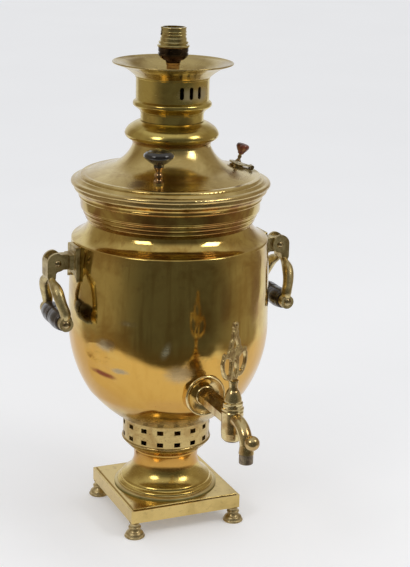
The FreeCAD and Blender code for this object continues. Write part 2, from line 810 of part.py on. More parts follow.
def make_knobs():
    """Two lid knobs: turned stem, ebonised cup and a nut under the lid."""
    stem, foot, bolt = dim.knob_stem_height, dim.knob_stem_radius, dim.knob_bolt_radius
    cup, top = dim.knob_radius, dim.knob_height
    seat = lid_slope_height(dim.knob_circle_radius) + 1.6
    under = dim.sheet_wall * 2 + 1.6
    for name, heading in (("front", 0), ("rear", 180)):
        side_x, side_y = toward(dim.knob_angle.value + heading)
        spot = (dim.knob_circle_radius * side_x, dim.knob_circle_radius * side_y, dim.lid_level + seat)
        place(turned(f"knob_stem_{name}", [
            (0, -under - 4.0), (bolt, -under - 4.0), (bolt, 0), (foot, 0), (foot, 1.4),
            (foot - 2.0, 3.6, -SOFT), (foot - 1.0, stem * 0.4, SOFT),
            (foot - 2.3, stem * 0.62, SOFT), (foot - 0.6, stem - 1.4, -SOFT), (foot - 0.2, stem),
            (bolt, stem), (bolt, stem + 8.0), (0, stem + 8.0),
        ]), spot)
        place(turned(f"knob_head_{name}", [
            (bolt + 0.1, stem), (foot - 0.2, stem), (foot, stem + 1.6), (foot + 0.6, stem + 2.8),
            (cup - 1.2, top - 9.8, SLIGHT), (cup, top - 7.6, SOFT), (cup - 0.9, top - 4.6, SOFT),
            (cup - 3.4, top - 2.6), (cup - 5.0, top - 2.2),
            (TIP, top, dome(cup - 5.0, 2.2)), (0, top), (0, stem + 8.2),
            (bolt + 0.1, stem + 8.2),
        ]), spot)
    body = new_body("knob_nuts")
    for heading in (0, 180):
        x, y = knob_place(heading)
        outline = polygon_loop(6, dim.knob_bolt_radius * 3.5)
        nut = sketch_on(body, "XY_Plane", outline)
        circle_in(nut, 0, 0, bolt + dim.running_clearance)
        shift(nut, (x, y, seat - under - 2.4))
        extrude(body, nut, 2.4)
    place(body, (0, 0, dim.lid_level), lid_heading())


def on_vent(body):
    """Lay a piece drawn flat on the lid's slope at the vent."""
    side_x, side_y = toward(dim.vent_angle.value)
    reach = dim.vent_circle_radius
    height = dim.lid_level + lid_slope_height(reach)
    return place(body, (reach * side_x, reach * side_y, height), lid_heading() * vent_turn())


def hinge_ears(body, half_width, low):
    """Add a lug from the vent's centre out to a round hinge eye."""
    reach, axis = dim.vent_hinge_reach, dim.vent_hinge_height
    eye = dim.vent_pin_radius * 2
    lug = sketch_on(body, "XZ_Plane", [
        (dim.vent_seat_radius - 1.6, low), (reach, low), (reach + eye, axis, SOFT),
        (reach, axis + eye, QUARTER), (reach - eye, axis, QUARTER),
        (reach - eye, low + 1.0), (dim.vent_seat_radius - 1.6, low + 1.0),
    ])
    extrude(body, lug, half_width * 2, both_ways=True)


def make_vent_seat():
    """Short steam tube through the lid with two hinge ears on its outer side."""
    bore, wall, flange = dim.vent_bore_radius, dim.sheet_wall, dim.vent_seat_radius
    top = dim.vent_seat_height
    body = turned("vent_seat", [
        (bore, -wall * 3), (bore + wall, -wall * 3), (bore + wall, 0.2), (flange, 0.2),
        (flange, 1.2), (bore + wall, 1.8, -SLIGHT), (bore + wall, top), (bore, top),
    ])
    hinge_ears(body, dim.vent_ear_half_width, sized(0.2))
    gap = sketch_on(body, "XZ_Plane", [
        (dim.vent_hinge_reach - 2.6, 1.2), (dim.vent_hinge_reach + 2.6, 1.2),
        (dim.vent_hinge_reach + 2.6, 7.0), (dim.vent_hinge_reach - 2.6, 7.0),
    ])
    extrude(body, gap, dim.vent_tongue_half_width * 2 + 0.4, "Pocket", both_ways=True)
    across = Rotation(Vector(1, 0, 0), 90)
    primitive(body, "SubtractiveCylinder", (dim.vent_hinge_reach, 12.0, dim.vent_hinge_height), across,
              Radius=dim.vent_pin_radius + 0.02, Height=24.0)
    on_vent(body)


def make_vent_flap():
    """Round lid of the steam vent with a tongue to the hinge pin."""
    low = dim.vent_seat_height + dim.seat_gap
    thick, radius = dim.vent_flap_thickness, dim.vent_flap_radius
    reach, axis = dim.vent_hinge_reach, dim.vent_hinge_height
    eye = dim.vent_pin_radius * 2
    body = turned("vent_flap", [
        (0, low), (radius - 0.4, low), (radius, low + 0.5), (radius - 0.3, low + thick * 0.7),
        (radius - 2.4, low + thick), (4.0, low + thick), (3.4, low + thick + 0.9, SOFT),
        (0, low + thick + 0.9),
    ])
    tongue = sketch_on(body, "XZ_Plane", [
        (radius - 2.0, low), (reach - 1.4, low), (reach, axis - eye, -SLIGHT), (reach + eye, axis, QUARTER),
        (reach, axis + eye, QUARTER), (reach - eye, low + thick, SOFT), (radius - 2.0, low + thick),
    ])
    extrude(body, tongue, dim.vent_tongue_half_width * 2, both_ways=True)
    across = Rotation(Vector(1, 0, 0), 90)
    primitive(body, "SubtractiveCylinder", (reach, 12.0, axis), across,
              Radius=dim.vent_pin_radius + dim.running_clearance, Height=24.0)
    on_vent(body)


def make_vent_fittings():
    """Hinge pin, and the dark stem and wooden head that lift the flap."""
    pin = new_body("vent_pin")
    half = dim.vent_ear_half_width + 0.4
    across = Rotation(Vector(1, 0, 0), 90)
    primitive(pin, "AdditiveCylinder", (dim.vent_hinge_reach, half, dim.vent_hinge_height), across,
              Radius=dim.vent_pin_radius, Height=half * 2)
    on_vent(pin)
    low = dim.vent_seat_height + dim.seat_gap + dim.vent_flap_thickness + 0.9
    head = dim.vent_knob_radius
    on_vent(turned("vent_stem", [
        (0, low), (3.2, low), (2.6, low + 1.4, SOFT), (1.6, low + 3.6, -SOFT),
        (2.2, low + 5.2, SOFT), (1.6, low + 6.8, SOFT), (2.4, low + 8.4, -SOFT), (0, low + 8.4),
    ]))
    on_vent(turned("vent_knob", [
        (0, low + 8.4), (3.0, low + 8.4), (3.6, low + 10.2, SOFT), (head - 0.6, low + 14.6, SLIGHT),
        (head, low + 16.6, SOFT), (head - 1.0, low + 19.0, SOFT), (head - 2.4, low + 19.6, SOFT),
        (TIP, low + 18.8, -dome(head - 2.4, 0.8)), (0, low + 18.8),
    ]))


# Crown, dish and lampholder

def slot_loop(width, low, high):
    """Return an upright slot with round ends, centred on the vertical axis."""
    half = width / 2
    return [(half, low + half, QUARTER), (half, high - half), (0, high, QUARTER),
            (-half, high - half, QUARTER), (-half, low + half), (0, low, QUARTER)]


def make_crown_collar():
    """Chimney collar with a sleeve over the flue, a bead and draught slots."""
    sleeve, bead, collar = dim.crown_sleeve_radius, dim.crown_bead_radius, dim.crown_radius
    rise, top, wall = dim.crown_sleeve_height, dim.crown_height, dim.sheet_wall
    body = turned("crown_collar", [
        (sleeve, 0), (sleeve, rise), (sleeve + 0.8, rise + 0.8), (sleeve + 0.8, rise + 1.8),
        (bead - 1.6, 15.0, -FLAT), (bead, 17.6, FULL), (bead - 1.8, 20.8, FULL), (collar, 21.8),
        (collar, top - 1.8), (collar + 0.7, top - 1.2), (collar + 0.7, top), (collar - wall, top),
        (collar - wall, 20.4), (bead - wall - 0.2, 17.8), (bead - 3.0, 15.4),
        (sleeve - 0.3, rise + 2.8), (sleeve - wall, rise + 1.2), (sleeve - wall, 0),
    ])
    low = dim.crown_slot_rise
    slot = sketch_on(body, "XZ_Plane", slot_loop(dim.crown_slot_width, low, low + dim.crown_slot_height))
    first = dim.crown_slot_angle.value - dim.crown_slot_pitch.value
    cut = extrude(body, slot, dim.crown_radius * 2.2, "Pocket", both_ways=True)
    around(body, cut, 3, dim.crown_slot_pitch.value * 2)
    place(body, (0, 0, dim.crown_level), Rotation(UP, first))


def make_crown_dish():
    """Flared dish that plugs into the collar."""
    collar, rim, top, wall = dim.crown_radius, dim.dish_radius, dim.dish_height, dim.tube_wall
    spigot = collar - dim.sheet_wall - dim.thread_clearance
    depth = -dim.dish_spigot_depth
    body = turned("crown_dish", [
        (spigot - wall, depth), (spigot, depth), (spigot, 0), (collar + 0.7, 0),
        (collar + 8.8, 6.5, -FLAT), (rim - 3.6, 12.4, -SLIGHT), (rim - 0.4, top - 1.6, -FLAT),
        (rim, top - 0.6, FULL), (rim - 0.7, top, FULL), (rim - 2.2, top - 0.7, SOFT),
        (rim - 4.2, 13.7, FLAT), (collar + 8.0, 7.8, SLIGHT), (spigot - wall, 1.4, FLAT),
    ])
    place(body, (0, 0, dim.crown_top))


def make_lamp_mount():
    """Plate across the collar, threaded tube, nut and the visible stem."""
    tube, bore, thick = dim.lamp_tube_radius, dim.lamp_tube_bore, dim.lamp_plate_thickness
    hole = tube + dim.thread_clearance
    edge = dim.crown_radius - dim.sheet_wall - 0.3
    level = (0, 0, dim.plate_top)
    place(turned("lamp_plate", [(hole, -thick), (edge, -thick), (edge, 0), (hole, 0)]), level)
    low, high = -thick - dim.lamp_nut_thickness - 5.0, dim.lamp_stem_height + 4.4
    place(turned("lamp_tube", [(bore, low), (tube, low), (tube, high), (bore, high)]), level)
    nut = new_body("lamp_nut")
    outline = sketch_on(nut, "XY_Plane", polygon_loop(6, dim.lamp_nut_flats))
    circle_in(outline, 0, 0, hole)
    extrude(nut, outline, dim.lamp_nut_thickness)
    place(nut, (0, 0, dim.plate_top - thick - dim.lamp_nut_thickness))
    stem, tall = dim.lamp_stem_radius, dim.lamp_stem_height
    place(turned("lamp_stem", [
        (hole, 0), (stem + 2.8, 0), (stem + 2.8, 1.4), (stem, 3.6, -SOFT), (stem, tall - 2.4),
        (stem + 0.7, tall - 1.6, SOFT), (stem + 0.7, tall), (hole, tall),
    ]), level)


def make_holder_cap():
    """Dark grooved cap of the lampholder."""
    cap, top = dim.holder_cap_radius, dim.holder_cap_height
    hole = dim.lamp_tube_radius + dim.thread_clearance
    inside = dim.holder_skirt_radius + dim.thread_clearance
    body = turned("holder_cap", [
        (hole, 0), (dim.lamp_stem_radius + 0.7, 0), (dim.lamp_stem_radius + 1.8, 2.4, -SLIGHT),
        (cap - 0.8, 7.2, SOFT), (cap, 8.4, SOFT), (cap, 10.4), (cap - 0.6, 10.8), (cap - 0.6, 11.8),
        (cap, 12.2), (cap, top - 1.0), (cap - 0.6, top), (inside, top), (inside, 8.6),
        (hole + 1.4, 4.4), (hole, 4.4),
    ])
    place(body, (0, 0, dim.stem_top))


def make_shade_rings():
    """Two thin rings on the lampholder's threaded skirt that grip a shade."""
    bore = dim.holder_skirt_radius + dim.thread_clearance
    thick = dim.shade_ring_thickness
    for name, radius, rise in (("shade_ring", dim.shade_ring_radius, 0.2),
                               ("shade_nut", dim.shade_nut_radius, 3.8)):
        body = turned(name, [
            (bore, 0), (radius - 0.5, 0), (radius, 0.6), (radius, thick - 0.6),
            (radius - 0.5, thick), (bore, thick),
        ])
        place(body, (0, 0, dim.cap_top + rise))


def make_holder_skirt():
    """Threaded skirt that screws into the cap and holds the barrel."""
    outer = dim.holder_skirt_radius
    inner = dim.holder_barrel_radius - 0.7
    body = turned("holder_skirt", [
        (inner, -dim.holder_skirt_height - 7.0), (outer, -dim.holder_skirt_height - 7.0),
        (outer, -0.6), (outer - 0.5, 0), (inner, 0),
    ])
    place(body, (0, 0, dim.skirt_top))


def make_holder_barrel():
    """Bayonet barrel with two hooked slots and an inner lip for the contact block."""
    socket, outer, tall = dim.socket_radius, dim.holder_barrel_radius, dim.holder_barrel_height
    lower = outer - 0.8
    chamber = dim.block_radius + 0.2
    lip = -dim.block_drop - dim.block_height
    body = turned("holder_barrel", [
        (chamber - 3.0, lip - 0.8), (lower, lip - 0.8), (lower, 0.2), (outer, 0.2), (outer, 2.2),
        (outer + 0.5, 3.0, FULL), (outer, 3.8, FULL), (outer, 5.2), (outer + 0.4, 5.9, FULL),
        (outer, 6.6, FULL), (outer, tall - 1.6), (outer + 0.3, tall - 0.9, FULL),
        (outer - 0.4, tall, FULL), (socket, tall), (socket, 0), (chamber, -0.5),
        (chamber, lip), (chamber - 3.0, lip),
    ])
    hook = sketch_on(body, "XZ_Plane", [
        (-1.3, tall + 1.0), (-1.3, 2.4), (5.2, 2.4), (5.2, 6.6), (2.9, 6.6), (2.9, 4.8),
        (1.3, 4.8), (1.3, tall + 1.0),
    ])
    cut = extrude(body, hook, outer * 1.4, "Pocket")
    around(body, cut, 2, 360)
    place(body, (0, 0, dim.skirt_top), Rotation(UP, 90))


def make_contacts():
    """Contact block with two sprung plungers."""
    radius, pin, half = dim.block_radius, dim.plunger_radius, dim.plunger_spacing / 2
    tall = dim.block_height
    top = dim.skirt_top - dim.block_drop
    depth = dim.spring_length + dim.plunger_height - dim.plunger_proud
    body = new_body("contact_block")
    disc = sketch_on(body, "XY_Plane")
    circle_in(disc, 0, 0, radius)
    extrude(body, disc, tall)
    bores = sketch_on(body, "XY_Plane")
    circle_in(bores, 0, half, pin + dim.running_clearance)
    circle_in(bores, 0, -half, pin + dim.running_clearance)
    shift(bores, (0, 0, tall))
    extrude(body, bores, depth, "Pocket")
    place(body, (0, 0, top - tall))
    for name, side in (("front", -1), ("rear", 1)):
        low = top + dim.plunger_proud - dim.plunger_height
        place(turned(f"contact_plunger_{name}", [
            (0, 0), (pin, 0), (pin, dim.plunger_height - 1.2),
            (TIP, dim.plunger_height, dome(pin, 1.2)), (0, dim.plunger_height),
        ]), (0, half * side, low))
        place(turned(f"contact_spring_{name}", [
            (pin - 0.9, 0), (pin - 0.2, 0), (pin - 0.2, dim.spring_length),
            (pin - 0.9, dim.spring_length),
        ]), (0, half * side, low - dim.spring_length))


# Tap: escutcheon, body, plug and pierced key

def make_tap_wall_fittings(outside, inside):
    """Dished escutcheon outside the wall and a wedge washer with its nut inside."""
    bore = dim.tap_shank_radius + dim.thread_clearance
    radius, front = dim.escutcheon_radius, dim.escutcheon_front
    forward = Rotation(Vector(1, 0, 0), 90)
    buried = dim.tap_shank_inside - 2.0
    blank = turned("escutcheon_blank", [
        (bore, buried), (radius - 0.4, buried), (radius, front - 1.8), (radius - 1.2, front + 0.4, FULL),
        (radius - 3.0, front - 0.8, FULL), (bore + 3.8, front - 4.4, -SOFT), (bore + 3.2, front - 0.6),
        (bore + 1.6, front + 1.2, SOFT), (bore, front + 1.2),
    ], keep=False)
    place(blank, (0, 0, dim.tap_height), forward)
    boolean("tap_escutcheon", "Cut", blank, outside)
    ring = turned("backing_blank", [
        (bore, dim.backing_face), (dim.backing_radius, dim.backing_face),
        (dim.backing_radius, front), (bore, front),
    ], keep=False)
    place(ring, (0, 0, dim.tap_height), forward)
    boolean("tap_backing", "Common", ring, inside)
    nut = new_body("tap_nut")
    outline = sketch_on(nut, "XY_Plane", polygon_loop(6, dim.tap_nut_flats))
    circle_in(outline, 0, 0, bore)
    extrude(nut, outline, dim.tap_nut_thickness)
    place(nut, (0, -(dim.backing_face - dim.tap_nut_thickness), dim.tap_height), forward)


def make_tap_body():
    """Cast tap: octagonal barrel, plug housing, bent spout and its round finial."""
    body = new_body("tap_body")
    shell, low, high = dim.tap_housing_radius, dim.tap_housing_below, dim.tap_housing_above
    revolve(body, sketch_on(body, "XZ_Plane", [
        (0, -low), (shell - 2.0, -low), (shell - 0.6, -low + 1.6, SOFT), (shell, -low + 8.0),
        (shell, 8.0), (shell - 0.8, 9.2), (shell + 0.3, 10.0), (shell + 0.3, 12.0),
        (shell - 0.9, 12.8), (shell - 0.9, high), (0, high),
    ]))
    hub = dim.tap_reach - dim.escutcheon_front - 1.2
    extrude(body, sketch_on(body, "XZ_Plane", polygon_loop(8, dim.tap_barrel_radius * 1.9)), hub,
            reverse=True)
    back = Rotation(Vector(1, 0, 0), -90)
    primitive(body, "AdditiveCylinder", (0, hub - 4.0, 0), back, Radius=dim.tap_shank_radius,
              Height=dim.tap_reach - dim.tap_shank_inside - hub + 4.0)
    spout_run(body, "AdditivePipe", dim.spout_radius)
    mouth = (0, -dim.spout_reach, -dim.spout_end_below)
    primitive(body, "AdditiveCone", mouth, Radius1=dim.spout_mouth_radius,
              Radius2=dim.spout_radius - 0.1, Height=9.0)
    ball = (0, -(dim.spout_reach + dim.spout_radius + dim.finial_radius * 0.75), -8.6)
    primitive(body, "AdditiveSphere", ball, Radius=dim.finial_radius)
    primitive(body, "SubtractiveCone", (0, 0, -low - 0.1), Radius1=dim.plug_bottom_radius,
              Radius2=dim.plug_top_radius, Height=low + high + 0.2)
    primitive(body, "SubtractiveCylinder", (0, 0, 0), back, Radius=dim.water_bore_radius,
              Height=dim.tap_reach)
    spout_run(body, "SubtractivePipe", dim.water_bore_radius)
    place(body, (0, -dim.tap_reach, dim.tap_height))


def spout_run(body, kind, radius):
    """Sweep a round section from the plug forward and down to the mouth."""
    bend, reach, rise = dim.spout_bend_radius, dim.spout_reach, dim.spout_rise
    path = body.newObject("Sketcher::SketchObject", "spout_path")
    path.AttachmentSupport = [(origin_plane(body, "YZ_Plane"), "")]
    path.MapMode = "FlatFace"
    corners = [(0, rise), (bend - reach, rise), (-reach, rise - bend), (-reach, -dim.spout_end_below)]
    points = [Vector(sized(x).value, sized(y).value, 0) for x, y in corners]
    path.addGeometry(Part.LineSegment(points[0], points[1]), False)
    path.addGeometry(bowed_arc(points[2], points[1], -QUARTER), False)
    path.addGeometry(Part.LineSegment(points[2], points[3]), False)
    path.addConstraint(Sketcher.Constraint("Coincident", 0, 2, 1, 1))
    path.addConstraint(Sketcher.Constraint("Coincident", 1, 2, 2, 1))
    for edge, end, corner in ((0, 1, 0), (0, 2, 1), (2, 1, 2), (2, 2, 3)):
        pin_point(path, edge, end, sized(corners[corner][0]), sized(corners[corner][1]))
    section = sketch_on(body, "XZ_Plane")
    circle_in(section, 0, rise, radius)
    pipe = body.newObject(f"PartDesign::{kind}", f"spout_{kind.lower()}")
    pipe.Profile = section
    pipe.Spine = (path, ["Edge1", "Edge2", "Edge3"])
    body.Tip = pipe


def make_spout_nozzle():
    """Short dark tube at the end of the spout."""
    outer, bore, tall = dim.nozzle_radius, dim.nozzle_bore, dim.nozzle_length
    body = turned("spout_nozzle", [
        (bore, -tall), (outer - 0.4, -tall), (outer, -tall + 0.6, SOFT), (outer, 0), (bore, 0),
    ])
    place(body, (0, -(dim.tap_reach + dim.spout_reach), dim.tap_height - dim.spout_end_below))


def make_tap_plug():
    """Tapered plug with its cross bore, vase-shaped stem and retaining screw."""
    gap = dim.seat_gap
    low = -dim.tap_housing_below - gap
    high = dim.tap_housing_above
    fit = dim.running_clearance
    vase, collar, top = dim.plug_vase_radius, dim.plug_collar_radius, high + dim.plug_stem_height
    shell = dim.tap_housing_radius
    axis = (0, -dim.tap_reach, dim.tap_height)
    body = turned("tap_plug", [
        (0, low + 8.0), (dim.plug_screw_radius, low + 8.0), (dim.plug_screw_radius, low),
        (dim.plug_bottom_radius - fit, low), (dim.plug_top_radius - fit, high),
        (dim.plug_top_radius - fit, high + gap), (shell - 1.0, high + gap),
        (shell - 0.8, high + 2.0), (shell - 2.4, high + 3.0), (vase + 0.8, high + 4.8, SOFT),
        (vase, high + 8.8, SLIGHT), (vase - 2.2, high + 14.4, SLIGHT),
        (collar - 0.7, high + 19.4, -SOFT), (collar - 0.6, top - 2.8), (collar, top - 2.2),
        (collar, top), (0, top),
    ])
    across = Rotation(Vector(0, 1, 0), 90)
    primitive(body, "SubtractiveCylinder", (-12.0, 0, 1.0), across, Radius=dim.water_bore_radius,
              Height=24.0)
    place(body, axis)
    screw, washer = dim.plug_screw_radius, dim.plug_washer_radius
    place(turned("plug_washer", [
        (screw + 0.1, low - 1.2), (washer, low - 1.2), (washer, low), (screw + 0.1, low),
    ]), axis)
    place(turned("plug_screw", [
        (0, low - 3.2), (screw * 1.6, low - 3.2), (screw * 2.1, low - 2.2, SOFT),
        (screw * 2.1, low - 1.2), (screw - 0.05, low - 1.2), (screw - 0.05, low + 7.4),
        (0, low + 7.4),
    ]), axis)


def mirrored_loop(half):
    """Close a right-hand half outline with its mirror image."""
    sized_half = [(sized(c[0]), sized(c[1]), c[2] if len(c) > 2 else 0) for c in half]
    loop = list(sized_half)
    for index in range(len(sized_half) - 1, -1, -1):
        x, y, _ = sized_half[index]
        bow = sized_half[index + 1][2] if index < len(sized_half) - 1 else 0
        if x.text == "0":
            continue
        loop.append((-x, y, bow))
    return loop


def make_tap_key():
    """Pierced cast key: side scrolls, a heart between them and a ring on top."""
    wide, tall = dim.key_half_width, dim.key_height
    outline = mirrored_loop([
        (wide * 0.2, 0), (wide * 0.26, tall * 0.05), (wide * 0.62, tall * 0.06, SOFT),
        (wide * 0.92, tall * 0.2, SOFT), (wide, tall * 0.34, SLIGHT), (wide * 0.92, tall * 0.44, SOFT),
        (wide * 0.8, tall * 0.52, FULL), (wide * 0.6, tall * 0.5, FULL),
        (wide * 0.46, tall * 0.54, -SOFT), (wide * 0.36, tall * 0.66, -SLIGHT),
        (wide * 0.25, tall * 0.71, FULL), (wide * 0.2, tall * 0.82, -SLIGHT),
        (wide * 0.09, tall * 0.88, SOFT), (wide * 0.16, tall * 0.94, QUARTER), (0, tall, QUARTER),
    ])
    heart = mirrored_loop([
        (0, tall * 0.07), (wide * 0.15, tall * 0.2, SOFT), (0, tall * 0.42, -SLIGHT),
    ])
    eye = mirrored_loop([
        (0, tall * 0.5), (wide * 0.22, tall * 0.58, -SLIGHT), (0, tall * 0.74, SLIGHT),
    ])
    scroll = [
        (wide * 0.34, tall * 0.13), (wide * 0.6, tall * 0.14, SOFT), (wide * 0.82, tall * 0.26, SOFT),
        (wide * 0.78, tall * 0.42, SOFT), (wide * 0.56, tall * 0.42, SOFT), (wide * 0.3, tall * 0.36, SLIGHT),
    ]
    other = [(-x, y, bow) for x, y, bow in
             [(c[0], c[1], scroll[(n + 1) % len(scroll)][2] if len(scroll[(n + 1) % len(scroll)]) > 2 else 0)
              for n, c in enumerate(scroll)][::-1]]
    body = new_body("tap_key")
    plate = sketch_on(body, "XZ_Plane", outline, heart, eye, scroll, other)
    circle_in(plate, 0, tall * 0.94, wide * 0.06)
    extrude(body, plate, dim.key_thickness, both_ways=True)
    level = dim.tap_height + dim.tap_housing_above + dim.plug_stem_height
    place(body, (0, -dim.tap_reach, level), Rotation(UP, dim.key_angle.value))


# Handles: bracket on the wall, swinging bail, turned grip

def make_handle(name, heading, outside):
    """One drop handle; the left one is the right one turned half round."""
    turn = Rotation(UP, heading)
    across = Rotation(Vector(1, 0, 0), 90)
    px, pz = dim.pivot_reach, dim.pivot_height
    knuckle, front = dim.knuckle_radius, dim.shield_front
    blank = new_body(f"bracket_blank_{name}", keep=False)
    wide, low, high = dim.shield_half_width, dim.shield_bottom, dim.shield_top
    extrude(blank, sketch_on(blank, "YZ_Plane", mirrored_loop([
        (0, low + 8.0), (wide * 0.5, low + 6.4, -SLIGHT), (wide - 0.6, low, -SOFT), (wide, low + 1.4, SOFT),
        (wide, low + 12.0), (wide - 2.0, high - 6.0, -SLIGHT), (wide - 2.6, high, SLIGHT),
    ])), front)
    half = dim.bracket_height / 2
    side = dim.bracket_half_width
    extrude(blank, sketch_on(blank, "YZ_Plane", box_loop(side, pz - half, pz + half)),
            px - dim.yoke_reach - 1.2)
    extrude(blank, sketch_on(blank, "XZ_Plane", [
        (front - 3.0, pz - knuckle), (px, pz - knuckle), (px + knuckle, pz, QUARTER),
        (px, pz + knuckle, QUARTER), (front - 3.0, pz + knuckle),
    ]), dim.knuckle_half_width * 2, both_ways=True)
    primitive(blank, "SubtractiveCylinder", (px, side * 1.25, pz), across,
              Radius=dim.pivot_pin_radius + 0.02, Height=side * 2.5)
    bracket = boolean(f"handle_bracket_{name}", "Cut", blank, outside)
    bracket.Placement = Placement(Vector(), turn)
    make_bail(f"handle_bail_{name}", turn)
    cheek = dim.yoke_half_width
    head = dim.pivot_pin_radius * 1.5
    cap = dome(head, 1.6)
    pin = turned(f"handle_pin_{name}", [
        (0, -cheek - 1.8), (TIP, -cheek - 1.8), (head, -cheek - 0.2, cap),
        (dim.pivot_pin_radius, -cheek - 0.2), (dim.pivot_pin_radius, cheek + 0.2),
        (head, cheek + 0.2), (TIP, cheek + 1.8, cap), (0, cheek + 1.8),
    ])
    aside = math.cos(math.radians(heading))
    place(pin, (px * aside, 0, pz), turn * across)
    make_grip(name, aside, turn * across)


def make_bail(label, turn):
    """Cast yoke on the pivot with two bowed arms down to the grip's bosses."""
    body = new_body(label)
    px, pz, eye, reach = dim.pivot_reach, dim.pivot_height, dim.ear_radius, dim.yoke_reach
    wide = dim.yoke_half_width
    extrude(body, sketch_on(body, "XZ_Plane", [
        (px + 2.6, pz - 16.4), (px + reach - 1.6, pz - 18.2), (px + reach, pz - 14.0, SLIGHT),
        (px + reach, pz + 1.0), (px + reach * 0.68, pz + reach * 0.72, SOFT),
        (px, pz + reach * 0.96, SOFT), (px - eye, pz, FULL), (px, pz - eye, QUARTER),
        (px + 2.2, pz - 11.0, -SLIGHT),
    ]), wide * 2, both_ways=True)
    room = dim.knuckle_radius + 0.9
    extrude(body, sketch_on(body, "XZ_Plane", [
        (px - 14.0, pz - room), (px, pz - room), (px + room * 0.906, pz + room * 0.423, 0.64),
        (px + 15.0, pz + 6.8), (px + 15.0, pz + 15.0), (px - 14.0, pz + 15.0),
    ]), (dim.knuckle_half_width + 0.3) * 2, "Pocket", both_ways=True)
    across = Rotation(Vector(1, 0, 0), 90)
    primitive(body, "SubtractiveCylinder", (px, 20.0, pz), across,
              Radius=dim.pivot_pin_radius + dim.running_clearance, Height=40.0)
    gx, gz, boss = dim.grip_reach, dim.grip_height, dim.grip_boss_radius
    inner = dim.grip_half_length + 0.5
    middle = inner + dim.grip_boss_length / 2
    drop = pz - gz
    for side in (1, -1):
        loft(body, side, [
            (px + 6.6, 5.6, pz - 15.6, 4.4), (px + 6.5, 8.2, pz - 18.6, 4.1),
            (gx + 6.6, inner * 0.62, gz + drop * 0.62, 5.6),
            (gx + 4.7, middle - 5.6, gz + drop * 0.46, 6.1),
            (gx + 1.4, middle - 0.6, gz + drop * 0.26, 5.7), (gx, middle, gz + 4.6, 4.8),
        ])
        start = inner + dim.grip_boss_length if side > 0 else -inner
        primitive(body, "AdditiveCylinder", (gx, start, gz), across, Radius=boss,
                  Height=dim.grip_boss_length)
    reach_out = inner + dim.grip_boss_length + 4.0
    primitive(body, "SubtractiveCylinder", (gx, reach_out, gz), across,
              Radius=dim.grip_rod_radius + 0.02, Height=reach_out * 2)
    body.Placement = Placement(Vector(), turn)


def loft(body, side, stations):
    """Skin round sections set square to the line through their centres."""
    stations = [(sized(x), sized(y) * side, sized(z), radius) for x, y, z, radius in stations]
    centres = [Vector(x.value, y.value, z.value) for x, y, z, _ in stations]
    sections = []
    for index, (x, y, z, radius) in enumerate(stations):
        before = centres[max(index - 1, 0)]
        after = centres[min(index + 1, len(centres) - 1)]
        section = sketch_on(body, "XY_Plane")
        circle_in(section, 0, 0, radius)
        shift(section, (x, y, z), Rotation(UP, after - before))
        sections.append(section)
    skin = body.newObject("PartDesign::AdditiveLoft", f"{body.Label}_arm")
    skin.Profile = sections[0]
    skin.Sections = sections[1:]
    skin.Ruled = False
    body.Tip = skin


def make_grip(name, aside, turn):
    """Turned wooden grip on a riveted rod."""
    half, radius, rod = dim.grip_half_length, dim.grip_radius, dim.grip_rod_radius
    bore = rod + 0.1
    spot = (dim.grip_reach * aside, 0, dim.grip_height)
    place(turned(f"handle_grip_{name}", [
        (bore, -half), (radius - 2.6, -half), (radius - 1.2, -half + 2.0, SOFT),
        (radius - 1.0, -half + 4.4), (radius, -8.0, SLIGHT), (radius - 0.2, -2.0, FLAT),
        (radius - 1.0, 0, -SOFT), (radius - 0.2, 2.0, -SOFT), (radius, 8.0, FLAT),
        (radius - 1.0, half - 4.4, SLIGHT), (radius - 1.2, half - 2.0), (radius - 2.6, half, SOFT),
        (bore, half),
    ]), spot, turn)
    end = half + 0.5 + dim.grip_boss_length
    cap = dome(rod * 1.5, 2.0)
    place(turned(f"handle_rod_{name}", [
        (0, -end - 2.0), (TIP, -end - 2.0), (rod * 1.5, -end, cap), (rod, -end), (rod, end),
        (rod * 1.5, end), (TIP, end + 2.0, cap), (0, end + 2.0),
    ]), spot, turn)


def build():
    """Make every sub-part, check it and write its file."""
    make_feet()
    make_base_plate()
    make_pedestal()
    make_gallery_ring()
    make_urn_body()
    outside, inside = make_urn_forms()
    make_fire_tube()
    make_fire_grate()
    make_cornice_ring()
    make_lid_shell()
    make_lid_skirt()
    make_lid_ring()
    make_knobs()
    make_vent_seat()
    make_vent_flap()
    make_vent_fittings()
    make_crown_collar()
    make_crown_dish()
    make_lamp_mount()
    make_holder_cap()
    make_shade_rings()
    make_holder_skirt()
    make_holder_barrel()
    make_contacts()
    make_tap_wall_fittings(outside, inside)
    make_tap_body()
    make_spout_nozzle()
    make_tap_plug()
    make_tap_key()
    for name, heading in (("right", 0), ("left", 180)):
        make_handle(name, heading, outside)
    doc.recompute()
    for thing in doc.Objects:
        if "Invalid" in thing.State or "Error" in thing.State:
            raise RuntimeError(f"{thing.Label} failed: {thing.State}")
    for piece in pieces:
        if piece.Shape.isNull() or not piece.Shape.isValid() or piece.Shape.Volume <= 0:
            raise RuntimeError(f"{piece.Label} has no valid shape")
    os.makedirs("parts", exist_ok=True)
    for piece in pieces:
        piece.Shape.exportStep(f"parts/{piece.Label}.step")
    print(len(pieces), "sub-parts")


build()
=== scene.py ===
"""Looks of a charcoal samovar that carries a lampholder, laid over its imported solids.

Lengths are in metres, in the frame of the solids: +Z up, the urn's axis at x = y = 0, the tap towards -Y.
Angles of the studio are counted from the camera's side, positive to the right.
"""
import sys
import json
import logging
import math
from collections import defaultdict
from dataclasses import dataclass
from enum import Enum
from typing import ClassVar, Protocol

import bmesh
import bpy
from mathutils import Matrix, Vector

